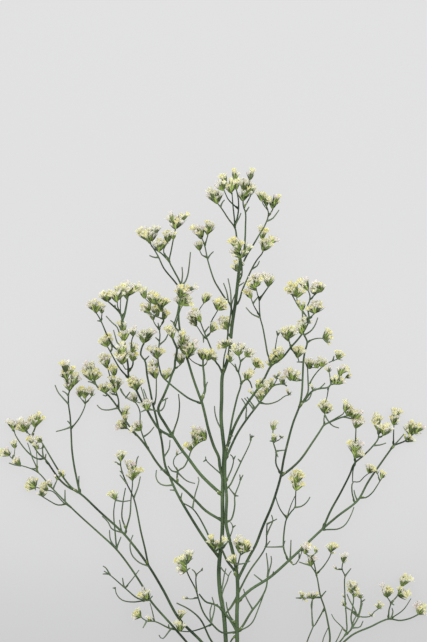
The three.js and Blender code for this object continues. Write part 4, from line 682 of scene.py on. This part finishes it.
# Sterile twigs, by the piece that carries them: the route of each one in pixels
NEEDLES = {
    "main_stem": [
        [[205.8, 460], [203.5, 461.5]],
        [[221.5, 430], [218, 423], [215, 413], [214.5, 406]], [[238, 287], [244, 282.5]],
        [[221, 599], [223.5, 589.5], [227.3, 581], [228.8, 575], [231.5, 571]],
        [[221.7, 595], [222.8, 584], [224.5, 573.5], [226, 568.5]],
        [[220.3, 565], [224, 571.5], [228, 575.5]],
        [[226, 613], [223.8, 604], [222.3, 596]]],
    "second_stem": [
        [[240.2, 480], [243, 475]], [[234.8, 495.5], [238.3, 496]], [[233.5, 459], [235.5, 456]],
        [[233, 527], [235.5, 525.5]],
        [[241, 462], [238, 459]], [[250, 440], [250, 434]], [[251, 437], [254, 436]],
        [[266.5, 535], [271, 525], [273, 521], [271.5, 515]], [[272, 523], [277, 519]],
        [[265.5, 547], [270, 541]], [[267.5, 577], [268, 568], [266.3, 553]],
        [[267.7, 570], [271.5, 561], [271, 556]], [[252, 609], [246, 597], [243.5, 589]],
        [[234.7, 495], [231.5, 491], [228.7, 487.2]]],
    "branch_far_left": [
        [[148.5, 566], [140, 563], [132, 555], [130, 546], [131, 540], [133, 535]],
        [[122, 533], [112, 529], [108, 522], [102, 516]], [[122, 531], [119.5, 520]]],
    "branch_mid_left": [
        [[117, 408.5], [108, 410], [101, 409], [97, 405]], [[108, 394], [106, 396], [103, 395]],
        [[96, 384], [92, 382.5], [88, 381.5]]],
    "branch_inner_left": [
        [[145, 360], [147, 358], [149, 356]],
        [[173, 485], [165, 485.5], [159, 483], [156, 477], [156.5, 470]],
        [[157, 474], [160.5, 470]], [[174, 491], [170, 490]], [[180, 500], [182, 493]],
        [[165, 457], [169, 449], [170, 440]], [[160, 436], [162, 430]],
        [[193, 508], [195, 495], [199, 480], [198, 477]]],
    "branch_upper_left": [
        [[158, 411], [151, 409.5], [145, 405.5], [140, 403], [134, 401]],
        [[158, 411], [162, 410], [165, 404], [166, 398]], [[165, 404], [168, 398]],
        [[179, 363], [176.5, 359.5]]],
    "branch_outer_left": [
        [[124, 345], [120, 335], [117, 327], [112, 322.5], [106, 316]],
        [[124, 348], [117.5, 343], [115.5, 337], [113.5, 330]],
        [[146, 408], [144, 397], [141, 387]], [[148, 409], [147, 400], [143.5, 389]],
        [[147, 409], [141, 412]], [[148, 409], [153, 410], [158, 411]]],
    "branch_right": [
        [[324, 338], [327, 342], [330, 342]],
        [[304.5, 335], [310.8, 331], [315, 325.3], [317.8, 317.6]], [[303, 362], [297, 362]],
        [[286, 449], [287, 446]]],
    "branch_upper_right": [
        [[278, 335], [276.5, 331]], [[278, 335], [280, 332]]],
    "branch_far_right": [
        [[290, 559], [290.6, 550], [291, 540]], [[262, 580], [254, 574.5]],
        [[273, 575], [273.5, 571.5]], [[297, 557], [299, 553]],
        [[357, 500], [355, 495], [354, 490]]],
    "branch_rising_right": [
        [[374, 446], [380, 445], [386, 443]]],
    "spray_crown": [
        [[220.5, 207], [222, 203], [224.5, 200]], [[245.5, 212], [247.5, 209.5], [249, 207]],
        [[236, 224], [239, 218], [241, 213]]],
    "spray_top_right": [
        [[267, 221], [272, 219], [275.5, 215], [279, 210]]],
    "spray_right_of_top": [
        [[252, 269], [257, 266], [259.5, 261]]],
    "spray_left_of_top": [
        [[207, 259], [210, 255], [213.5, 251.5]], [[229, 301], [227, 293], [223.5, 283]],
        [[231.5, 308], [230.5, 291], [228, 278.5]]],
    "spray_shoulder_left": [
        [[159, 257], [155, 257.5], [151.5, 256.5], [149.5, 255.5]]],
    "spray_shoulder_right": [
        [[169, 259.5], [167, 257], [164, 253.5]],
        [[182.5, 285.5], [185, 282], [187.5, 276], [189, 267], [190.5, 252]],
        [[181.5, 285.5], [182.5, 275], [182, 267]]],
    "spray_left_a": [
        [[101, 321], [97.5, 320.8]]],
    "spray_left_b": [
        [[127, 299], [122.5, 294.5]], [[116, 307], [115, 305]]],
    "spray_arc": [
        [[149, 316.5], [144, 312]], [[160, 341], [155.5, 337.5]], [[160, 329], [158, 323]],
        [[160, 345], [165, 340], [168, 334], [169, 331]]],
    "spray_centre_left": [
        [[175, 325], [173, 322], [170.5, 320.5]]],
    "spray_centre_a": [
        [[205, 388], [207.5, 382]]],
    "spray_centre_b": [
        [[205.5, 332], [209, 326.5]], [[203.5, 336], [203.5, 342.5]]],
    "spray_centre_right": [
        [[237, 369], [235, 364]], [[229.5, 436], [233, 436]]],
    "spray_right_heads": [
        [[258.5, 318], [252, 314], [246, 307.5]], [[254, 303], [258, 297]]],
    "spray_high_right_a": [
        [[303, 311], [302.5, 316], [302, 321]]],
    "spray_plume_a": [
        [[333, 361], [334, 356]]],
    "spray_plume_b": [
        [[314, 390], [320, 388], [325, 383]], [[303, 402], [308, 400], [311, 395], [312, 391]]],
    "spray_outer_right": [
        [[325, 415], [329, 422], [333, 426], [339, 428]]],
    "spray_low_centre_a": [
        [[274, 441], [270, 441]], [[277, 451], [281, 450.5], [286, 450]], [[277, 452], [278, 457]]],
    "spray_low_centre_b": [
        [[246, 420], [246, 415], [246.5, 408], [244, 402], [241.5, 398.5]],
        [[244, 402], [244.5, 398]], [[244.5, 400], [247, 397]],
        [[259, 402], [256, 397], [254.5, 395]]],
    "spray_far_right": [
        [[393, 446], [399, 440], [404, 434]]],
    "spray_under_right": [
        [[295, 507.5], [301, 506.5], [307, 502], [310, 497]], [[284, 544], [285, 541]],
        [[283.5, 546.5], [275, 547], [266, 547]]],
    "spray_far_left_a": [
        [[27, 433], [26, 428]], [[43, 458], [42.5, 450], [43, 444]], [[46, 458], [46, 454]],
        [[14, 431], [12, 430]]],
    "spray_low_left": [
        [[21, 465], [15, 465], [9, 463]], [[36, 469], [31, 468.5]], [[65.5, 501], [65, 490]],
        [[53, 489], [57, 480]], [[35, 487], [35.5, 490]]],
    "spray_tall_left": [
        [[69, 404], [62, 397], [58, 392], [55, 385]], [[70, 396], [66, 393], [62.5, 391]],
        [[70, 424], [67.5, 421]], [[71, 427], [64, 429.5], [56, 431.5]], [[78, 487], [79, 476]]],
    "spray_under_left": [
        [[179, 473], [187, 481], [195, 483.5]], [[176, 471.5], [172, 471], [168, 466]]],
    "spray_mid_left_b": [
        [[121, 389], [123, 394], [130, 400], [135, 401.5]], [[121, 404], [125, 399], [130, 392]],
        [[143, 437], [149, 433], [154, 427]]],
    "spray_low_tall_left": [
        [[126, 484], [120, 475]], [[134, 498], [138, 487], [140.4, 476.5]],
        [[123, 473], [120, 471]]],
    "spray_low_pair_left": [
        [[134, 471], [136, 465], [137, 459], [138.5, 456]]],
    "spray_low_single_left": [
        [[115.5, 500], [123, 501.5], [130, 500.5]], [[117, 549], [110.5, 540], [109.5, 530]],
        [[117.5, 548], [121, 537]]],
    "spray_hook_left": [
        [[110, 575], [106, 568], [103, 566]], [[108, 574], [103, 574]],
        [[124, 587], [122.5, 578]], [[149, 600], [152.5, 596]], [[115, 588], [113, 588]]],
    "spray_foot_left": [
        [[146.5, 622], [143, 628]], [[171, 629], [162, 639], [159, 635]],
        [[169, 628], [168.5, 624.5]]],
    "spray_left_of_foot": [
        [[197, 576], [195, 572], [192, 569.5]], [[188, 570], [190, 568]],
        [[211, 623], [214.6, 607], [212, 597]], [[211, 623], [210, 612], [212, 604]],
        [[202, 570.5], [202.5, 568]]],
    "spray_foot_main": [
        [[220, 548], [227, 543], [229, 541]]],
    "spray_foot_second": [
        [[236, 564], [246, 563], [250, 561]]],
    "spray_low_right_tall": [
        [[313, 626], [311.8, 612], [312.5, 600]],
        [[310, 566], [305, 564], [299, 562]], [[301, 598], [296, 598]], [[321, 597], [326, 591]]],
    "spray_low_right_far": [
        [[391, 618], [393, 612], [392, 608]], [[391, 603], [394, 605]]],
    "spray_low_right_mid": [
        [[352, 628], [354, 620], [357, 615]],
        [[357.5, 616], [354, 608], [350, 601], [347, 594]],
        [[346, 607], [349, 609], [352.3, 611]],
        [[351, 630], [358, 618], [362.5, 603]],
        [[361, 602], [365, 599.5]], [[345.5, 576], [351, 568.5]],
        [[353, 628], [360, 627], [363, 621]]],
}

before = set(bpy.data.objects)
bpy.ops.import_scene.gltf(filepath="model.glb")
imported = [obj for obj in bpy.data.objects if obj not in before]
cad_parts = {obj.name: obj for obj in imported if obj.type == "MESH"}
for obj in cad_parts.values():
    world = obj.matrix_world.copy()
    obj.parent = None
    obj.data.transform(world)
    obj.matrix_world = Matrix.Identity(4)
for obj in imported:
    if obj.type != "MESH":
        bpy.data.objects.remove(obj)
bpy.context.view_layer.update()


def at(x, y, height):
    """The point at a pixel and a height above the table, on the camera's line of sight."""
    reach = MM_PER_PIXEL * (EYE_HEIGHT - height) / (EYE_HEIGHT - READING_HEIGHT)
    point = Vector(((x - EYE_PIXEL[0]) * reach, EYE_Y + (EYE_PIXEL[1] - y) * reach, height))
    return point + CENTRING


def nearest(pixel, lines):
    """The point of the given centre lines that is nearest to a pixel, as (x, y, height)."""
    best, shortest = None, math.inf
    spot = Vector(pixel[:2])
    for line in lines:
        for a, b in zip(line, line[1:]):
            run = (b - a).to_2d()
            t = min(max((spot - a.to_2d()).dot(run) / run.length_squared, 0), 1)
            point = a.lerp(b, t)
            distance = (point.to_2d() - spot).length
            if distance < shortest:
                best, shortest = point, distance
    return best


def smooth_line(corners):
    """A centripetal Catmull-Rom curve through 2-D corners, as many short bits."""
    if len(corners) == 2:
        return [corners[0].lerp(corners[1], i / CURVE_BITS) for i in range(CURVE_BITS + 1)]
    ends = [2 * corners[0] - corners[1], *corners, 2 * corners[-1] - corners[-2]]
    points = [corners[0]]
    for p0, p1, p2, p3 in zip(ends, ends[1:], ends[2:], ends[3:]):
        t1 = (p1 - p0).length ** 0.5
        t2 = t1 + (p2 - p1).length ** 0.5
        t3 = t2 + (p3 - p2).length ** 0.5
        for i in range(1, CURVE_BITS + 1):
            t = t1 + (t2 - t1) * i / CURVE_BITS
            a1 = p0.lerp(p1, t / t1)
            a2 = p1.lerp(p2, (t - t1) / (t2 - t1))
            a3 = p2.lerp(p3, (t - t2) / (t3 - t2))
            before = a1.lerp(a2, t / t2)
            after = a2.lerp(a3, (t - t1) / (t3 - t1))
            points.append(before.lerp(after, (t - t1) / (t2 - t1)))
    return points


def sample(pixels, carriers, tip_height, step):
    """A centre line through the pixels, its height rising evenly by length, on what carries it."""
    corners = [Vector(p) for p in pixels]
    foot_height = STEM_FOOT_HEIGHT
    if carriers:
        foot = nearest(pixels[0], carriers)
        corners[0], foot_height = foot.to_2d(), foot.z
    fine = smooth_line(corners)
    lengths = [0]
    for a, b in zip(fine, fine[1:]):
        lengths.append(lengths[-1] + (b - a).length)
    count = max(2, round(lengths[-1] * MM_PER_PIXEL / step))
    line, j = [], 0
    for i in range(count + 1):
        along = lengths[-1] * i / count
        while j < len(fine) - 2 and lengths[j + 1] < along:
            j += 1
        part = (along - lengths[j]) / max(lengths[j + 1] - lengths[j], 1e-9)
        point = fine[j].lerp(fine[j + 1], part)
        line.append(Vector((*point, foot_height + (tip_height - foot_height) * i / count)))
    return line


def across(direction):
    """Two unit vectors square to a direction: one level, and one that points up from it."""
    side = direction.cross(Vector((0, 0, 1)))
    side = side.normalized() if side.length > 1e-3 else Vector((1, 0, 0))
    return side, side.cross(direction).normalized()


def angle_of(away, direction):
    """How far round a direction another one lies, as the angle that add_scale takes."""
    side, lift = across(direction)
    return math.atan2(away.dot(lift), away.dot(side))


class Skin:
    """The surface of one piece while it is being made."""

    def __init__(self, looks):
        self.looks = looks
        self.points, self.faces, self.slots, self.corners, self.tints = [], [], [], [], []

    def sheet(self, rows, look, tint, closed=False):
        """Faces over rows of points, which meet at their ends where closed."""
        start, wide = len(self.points), len(rows[0])
        for row in rows:
            self.points += row
            self.tints += [tint] * wide
        slot = self.looks.index(look)
        columns = wide if closed else wide - 1
        for i in range(len(rows) - 1):
            for j in range(columns):
                k = (j + 1) % wide
                self.faces.append((
                    start + i * wide + j, start + i * wide + k,
                    start + (i + 1) * wide + k, start + (i + 1) * wide + j))
                u0, u1 = j / columns, (j + 1) / columns
                v0, v1 = i / (len(rows) - 1), (i + 1) / (len(rows) - 1)
                self.corners += [(u0, v0), (u1, v0), (u1, v1), (u0, v1)]
                self.slots.append(slot)

    def cap(self, ring, look, tint):
        """A flat end over one ring of points."""
        start = len(self.points)
        self.points += ring
        self.tints += [tint] * len(ring)
        self.faces.append(tuple(range(start, start + len(ring))))
        self.corners += [(0.5, 0.5)] * len(ring)
        self.slots.append(self.looks.index(look))

    def make(self, name, node):
        mesh = bpy.data.meshes.new(name)
        pressed = [Vector((p.x, p.y, max(p.z, TABLE_CLEARANCE))) * MM for p in self.points]
        mesh.from_pydata(pressed, [], self.faces)
        for look in self.looks:
            mesh.materials.append(MATERIALS[look])
        mesh.polygons.foreach_set("material_index", self.slots)
        mesh.polygons.foreach_set("use_smooth", [len(f) == 4 for f in self.faces])
        uv = mesh.uv_layers.new(name="UVMap")
        uv.data.foreach_set("uv", [c for corner in self.corners for c in corner])
        tint = mesh.attributes.new("tint", "FLOAT", "POINT")
        tint.data.foreach_set("value", self.tints)
        mesh.update()
        piece = bpy.data.objects.new(name, mesh)
        bpy.context.scene.collection.objects.link(piece)
        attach(piece, "root")
        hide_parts(node)
        return piece


def ring_around(centre, direction, radius_at, sides):
    side, lift = across(direction)
    ring = []
    for k in range(sides):
        angle = 2 * math.pi * k / sides
        radius = radius_at(angle)
        ring.append(centre + (math.cos(angle) * side + math.sin(angle) * lift) * radius)
    return ring


def add_rod(skin, line, foot_radius, tip_radius, sides, look, tint):
    """A tapered stalk along a centre line, thicker at its foot, ribbed if it is a stem."""
    points = [at(*p) for p in line]
    ribbed = foot_radius >= THICK
    rings, run, last = [], 0, len(points) - 1
    for i, point in enumerate(points):
        direction = (points[min(i + 1, last)] - points[max(i - 1, 0)]).normalized()
        if i:
            run += (point - points[i - 1]).length
        radius = foot_radius + (tip_radius - foot_radius) * i / last
        radius *= 1 + COLLAR * max(0, 1 - run / (COLLAR_LENGTH + foot_radius))

        def radius_at(angle):
            return radius * (1 + RIB_DEPTH * math.cos(RIBS * angle)) if ribbed else radius

        rings.append(ring_around(point, direction, radius_at, sides))
    skin.sheet(rings, look, tint, closed=True)
    skin.cap(rings[0][::-1], look, tint)
    skin.cap(rings[-1], look, tint)


def add_scale(skin, foot, direction, length, radius, opening, look, tint, around):
    """A cupped leaf that hugs a rod or a flower, with its back towards the angle around."""
    side, lift = across(direction)
    rows = []
    for i in range(SCALE_ROWS + 1):
        s = i / SCALE_ROWS
        half = opening * math.sqrt(max(0, 1 - s ** 2.2)) + 0.02
        stand = radius * (0.55 + 0.75 * math.sin(math.pi * min(1, 0.15 + 0.75 * s)))
        row = []
        for j in range(SCALE_COLUMNS + 1):
            angle = around + half * (2 * j / SCALE_COLUMNS - 1)
            out = math.cos(angle) * side + math.sin(angle) * lift
            row.append(foot + direction * (length * s) + out * stand)
        rows.append(row)
    skin.sheet(rows, look, tint)


def add_flower(skin, foot, direction, size, turn, open_by, tint):
    """One flower: a pleated papery calyx with five lobes, and five petals in it."""
    side, lift = across(direction)
    rows = []
    for i in range(CALYX_ROWS + 1):
        s = i / CALYX_ROWS
        radius = CALYX_THROAT + (CALYX_MOUTH * open_by - CALYX_THROAT) * s ** FLARE
        row = []
        for j in range(CALYX_COLUMNS):
            angle = turn + 2 * math.pi * j / CALYX_COLUMNS
            lobe = math.cos(PETALS * angle)
            out = math.cos(angle) * side + math.sin(angle) * lift
            reach = CALYX_LENGTH * (s + LOBE_LENGTH * lobe * s ** 5)
            stand = radius * (1 + LOBE_WIDTH * lobe * s)
            row.append(foot + (direction * reach + out * stand) * size)
        rows.append(row)
    skin.sheet(rows, "calyx", tint, closed=True)
    for k in range(PETALS):
        angle = turn + 2 * math.pi * (k + 0.5) / PETALS
        out = math.cos(angle) * side + math.sin(angle) * lift
        along = -math.sin(angle) * side + math.cos(angle) * lift
        rows = []
        for i in range(PETAL_ROWS + 1):
            s = i / PETAL_ROWS
            spread = PETAL_SPREAD[0] + (PETAL_SPREAD[1] * open_by) * s ** FLARE
            reach = CALYX_LENGTH * PETAL_FOOT_HEIGHT + PETAL_LENGTH * (s - 0.22 * s * s)
            half = PETAL_HALF_WIDTH * math.sin(math.pi * (0.1 + 0.72 * s)) * open_by
            row = []
            for j in range(PETAL_COLUMNS + 1):
                t = 2 * j / PETAL_COLUMNS - 1
                notch = PETAL_NOTCH * (1 - abs(t)) * s ** 6
                curl = PETAL_CURL * t * t * s
                row.append(foot + size * (
                    direction * (reach - notch + curl) + out * (spread - curl) + along * (half * t)))
            rows.append(row)
        skin.sheet(rows, "petal", tint)


def add_spikelet(skin, foot, direction, away, size, dice):
    """Bracts round one flower, the longest on the side that faces away from the head."""
    back = angle_of(away, direction) + dice.uniform(-0.5, 0.5)
    for turn, share, start in SPIKELET_BRACTS:
        add_scale(skin, foot + direction * (start * size), direction,
                  BRACT_LENGTH * size * share * dice.uniform(0.8, 1.2), BRACT_RADIUS * size, BRACT_WRAP,
                  "bract", dice.random(), back + turn)
    add_flower(skin, foot + direction * (CALYX_FOOT_HEIGHT * size), direction, size, back,
               dice.uniform(0.7, 1.25), dice.random())


def add_head(skin, seat, open_pixel, dice):
    """Spikelets that overlap along a short axis from a seat, which opens towards a pixel."""
    foot = at(*seat)
    axis = at(*open_pixel, seat.z) - foot
    length = HEAD_REACH * axis.length
    axis = (axis / axis.length + Vector((0, 0, dice.uniform(-0.05, 0.3)))).normalized()
    side, lift = across(axis)
    size = min(1, length / SPIKELET_LENGTH)
    room = length - SPIKELET_LENGTH * size
    count = max(1, round(length / SPIKELET_PITCH))
    for away in (side, -side):
        lean = axis + away * dice.uniform(0.15, OUTER_SPREAD) + lift * dice.uniform(-0.2, 0.3)
        lean = lean.normalized()
        add_scale(skin, foot + axis * (OUTER_START * size), lean,
                  OUTER_REACH * length * dice.uniform(0.6, 1.1), BRACT_RADIUS * size, BRACT_WRAP,
                  "bract", OUTER_TINT * dice.random(), angle_of(away, lean))
    for k in range(count):
        away = side * (1 if k % 2 else -1)
        tip = axis + away * (SPIKELET_SPREAD * dice.uniform(0.3, 1)) + lift * dice.uniform(-0.3, 0.4)
        add_spikelet(skin, foot + axis * (room * k / count), tip.normalized(), away,
                     size * dice.uniform(0.8, 1.17), dice)


def value(node, name, number):
    node.inputs[name].default_value = number


def material(name):
    made = bpy.data.materials.new(name)
    made.use_nodes = True
    return made, made.node_tree, made.node_tree.nodes["Principled BSDF"]


def ramp(tree, source, stops, between="LINEAR"):
    node = tree.nodes.new("ShaderNodeValToRGB")
    node.color_ramp.interpolation = between
    while len(node.color_ramp.elements) < len(stops):
        node.color_ramp.elements.new(0.5)
    for element, (place, colour) in zip(node.color_ramp.elements, stops):
        element.position = place
        element.color = (*colour, 1)
    tree.links.new(source, node.inputs["Fac"])
    return node.outputs["Color"]


def mixed(tree, blend, factor, one, other):
    node = tree.nodes.new("ShaderNodeMix")
    node.data_type = "RGBA"
    node.blend_type = blend
    for socket, source in ((node.inputs[0], factor), (node.inputs[6], one), (node.inputs[7], other)):
        if isinstance(source, bpy.types.NodeSocket):
            tree.links.new(source, socket)
        else:
            socket.default_value = source
    return node.outputs[2]


def noise_of(tree, scale, detail=3):
    place = tree.nodes.new("ShaderNodeTexCoord")
    node = tree.nodes.new("ShaderNodeTexNoise")
    value(node, "Scale", scale)
    value(node, "Detail", detail)
    tree.links.new(place.outputs["Object"], node.inputs["Vector"])
    return node.outputs["Fac"]


def tint_of(tree):
    node = tree.nodes.new("ShaderNodeAttribute")
    node.attribute_name = "tint"
    return node.outputs["Fac"]


def uv_parts(tree):
    node = tree.nodes.new("ShaderNodeUVMap")
    split = tree.nodes.new("ShaderNodeSeparateXYZ")
    tree.links.new(node.outputs["UV"], split.inputs[0])
    return split.outputs["X"], split.outputs["Y"]


def bumped(tree, shader, height, strength, distance):
    node = tree.nodes.new("ShaderNodeBump")
    value(node, "Strength", strength)
    value(node, "Distance", distance)
    tree.links.new(height, node.inputs["Height"])
    tree.links.new(node.outputs["Normal"], shader.inputs["Normal"])


def translucent(tree, shader, colour, share):
    """Lets some of the light through a thin sheet."""
    through = tree.nodes.new("ShaderNodeBsdfTranslucent")
    blend = tree.nodes.new("ShaderNodeMixShader")
    value(blend, "Fac", share)
    tree.links.new(colour, through.inputs["Color"])
    tree.links.new(shader.outputs[0], blend.inputs[1])
    tree.links.new(through.outputs[0], blend.inputs[2])
    tree.links.new(blend.outputs[0], tree.nodes["Material Output"].inputs["Surface"])


def stem_material():
    made, tree, shader = material("stem_green")
    wide = ramp(tree, noise_of(tree, 28), [(0.35, STEM_DARK), (0.65, STEM_LIGHT)])
    fine = ramp(tree, noise_of(tree, 900, 2), [(0.3, (0.78, 0.78, 0.78)), (0.7, (1.15, 1.15, 1.1))])
    colour = mixed(tree, "MULTIPLY", 1.0, wide, fine)
    tree.links.new(colour, shader.inputs["Base Color"])
    bumped(tree, shader, noise_of(tree, 1400, 2), 0.35, 0.0002)
    value(shader, "Roughness", 0.62)
    value(shader, "Specular IOR Level", 0.25)
    return made


def needle_material():
    made, tree, shader = material("sterile_twig_green")
    colour = ramp(tree, noise_of(tree, 60), [(0.3, NEEDLE_DARK), (0.7, NEEDLE_LIGHT)])
    tree.links.new(colour, shader.inputs["Base Color"])
    bumped(tree, shader, noise_of(tree, 1600, 2), 0.3, 0.0001)
    value(shader, "Roughness", 0.7)
    return made


def bract_material():
    made, tree, shader = material("bract_green")
    across_it, along_it = uv_parts(tree)
    body = ramp(tree, tint_of(tree), [(0, BRACT_DARK), (0.55, BRACT_MID), (1, BRACT_LIGHT)])
    edge = ramp(tree, across_it, [(0.1, BRACT_EDGE), (0.5, (1, 1, 1)), (0.9, BRACT_EDGE)])
    tip = ramp(tree, along_it, [(0.0, (0, 0, 0)), (0.72, (0.05, 0.05, 0.05)), (1.0, (0.9, 0.9, 0.9))])
    colour = mixed(tree, "MIX", tip, mixed(tree, "MULTIPLY", 1.0, body, edge), (*BRACT_TIP, 1))
    fine = ramp(tree, noise_of(tree, 1100, 2), [(0.3, (0.8, 0.8, 0.8)), (0.7, (1.2, 1.2, 1.2))])
    colour = mixed(tree, "MULTIPLY", 1.0, colour, fine)
    tree.links.new(colour, shader.inputs["Base Color"])
    value(shader, "Roughness", 0.55)
    return made


def calyx_material():
    made, tree, shader = material("calyx_cream")
    _, along_it = uv_parts(tree)
    body = ramp(tree, along_it, [(0.0, CALYX_FOOT), (0.35, CALYX_MIDDLE), (0.7, CALYX_RIM)])
    warm = ramp(tree, tint_of(tree), CALYX_TINTS)
    colour = mixed(tree, "MULTIPLY", 1.0, body, warm)
    tree.links.new(colour, shader.inputs["Base Color"])
    bumped(tree, shader, noise_of(tree, 1300, 2), 0.4, 0.0002)
    value(shader, "Roughness", 0.8)
    translucent(tree, shader, colour, CALYX_SHEER)
    return made


def petal_material():
    made, tree, shader = material("petal_yellow")
    _, along_it = uv_parts(tree)
    body = ramp(tree, along_it, [(0.0, PETAL_FOOT), (0.55, PETAL_MIDDLE), (1.0, PETAL_EDGE)])
    warm = ramp(tree, tint_of(tree), PETAL_TINTS)
    colour = mixed(tree, "MULTIPLY", 1.0, body, warm)
    tree.links.new(colour, shader.inputs["Base Color"])
    value(shader, "Roughness", 0.7)
    translucent(tree, shader, colour, PETAL_SHEER)
    return made


MATERIALS = {
    "stem": stem_material(),
    "needle": needle_material(),
    "bract": bract_material(),
    "calyx": calyx_material(),
    "petal": petal_material(),
}

routes = {}
for name, carrier, rods, heads in PIECES:
    dice = random.Random(name)
    lines = []
    routes[name] = lines
    for radius, tip_height, pixels in rods:
        carriers = lines or routes.get(carrier)
        lines.append(sample(pixels, carriers, tip_height, ROD_STEP))
    stalks = Skin(["stem", "needle", "bract"])
    for (radius, _, _), line in zip(rods, lines):
        sides = ROD_SIDES if radius >= THICK else TWIG_SIDES
        add_rod(stalks, line, radius, TAPER * radius, sides, "stem", dice.random())
        points = [at(*p) for p in line[:3]]
        direction = (points[2] - points[0]).normalized()
        add_scale(stalks, points[0] + direction * radius, direction, SCALE_LENGTH + radius,
                  radius * SCALE_SWELL + SCALE_GAP, SCALE_WRAP, "bract",
                  SCALE_TINT * dice.random(), dice.uniform(0, 2 * math.pi))
    for route in NEEDLES.get(name, ()):
        foot = nearest(route[0], lines)
        line = sample(route, lines, foot.z + NEEDLE_RISE, ROD_STEP)
        add_rod(stalks, line, NEEDLE_RADIUS, NEEDLE_TIP, NEEDLE_SIDES, "needle", dice.random())
    stalks.make(name + "_stalks", name)
    if heads:
        flowers = Skin(["bract", "calyx", "petal"])
        for x, y, open_x, open_y in heads:
            add_head(flowers, nearest((x, y), lines), (open_x, open_y), dice)
        flowers.make(name + "_flowers", name)

# The table, its light and the camera straight above it
bpy.ops.mesh.primitive_plane_add(size=FLOOR_SIZE)
floor = bpy.context.object
floor.name = "table"
made, tree, shader = material("table_painted_glow")
value(shader, "Base Color", (*FLOOR_COLOUR, 1))
# painted light: the table's own glow, brighter towards its far edge, paints a light falloff and lifts
# the shade under the plant
where = tree.nodes.new("ShaderNodeTexCoord")
split = tree.nodes.new("ShaderNodeSeparateXYZ")
tree.links.new(where.outputs["Generated"], split.inputs[0])
painted_glow_ramp = ramp(tree, split.outputs["Y"], [(place, (grey,) * 3) for place, grey in FLOOR_PAINTED_GLOW],
            "B_SPLINE")
tree.links.new(painted_glow_ramp, shader.inputs["Emission Color"])
value(shader, "Emission Strength", 1)
value(shader, "Roughness", 0.9)
floor.data.materials.append(made)

world = bpy.data.worlds.new("studio")
bpy.context.scene.world = world
world.use_nodes = True
value(world.node_tree.nodes["Background"], "Color", (*SKY_COLOUR, 1))
value(world.node_tree.nodes["Background"], "Strength", SKY_STRENGTH)

lamp = bpy.data.lights.new("softbox", "AREA")
lamp.size = LAMP_SIZE
lamp.energy = LAMP_POWER
softbox = bpy.data.objects.new("softbox", lamp)
softbox.location = LAMP_PLACE
softbox.rotation_euler = (-Vector(LAMP_PLACE)).to_track_quat("-Z", "Y").to_euler()
bpy.context.scene.collection.objects.link(softbox)

camera = bpy.data.cameras.new("camera")
camera.sensor_fit = "HORIZONTAL"
seen_width = PHOTO_WIDTH * MM_PER_PIXEL
camera.lens = camera.sensor_width * (EYE_HEIGHT - READING_HEIGHT) / seen_width
eye = bpy.data.objects.new("camera", camera)
eye.location = (Vector((0, EYE_Y, EYE_HEIGHT)) + CENTRING) * MM
bpy.context.scene.collection.objects.link(eye)
bpy.context.scene.camera = eye
bpy.context.scene.view_settings.view_transform = "Standard"
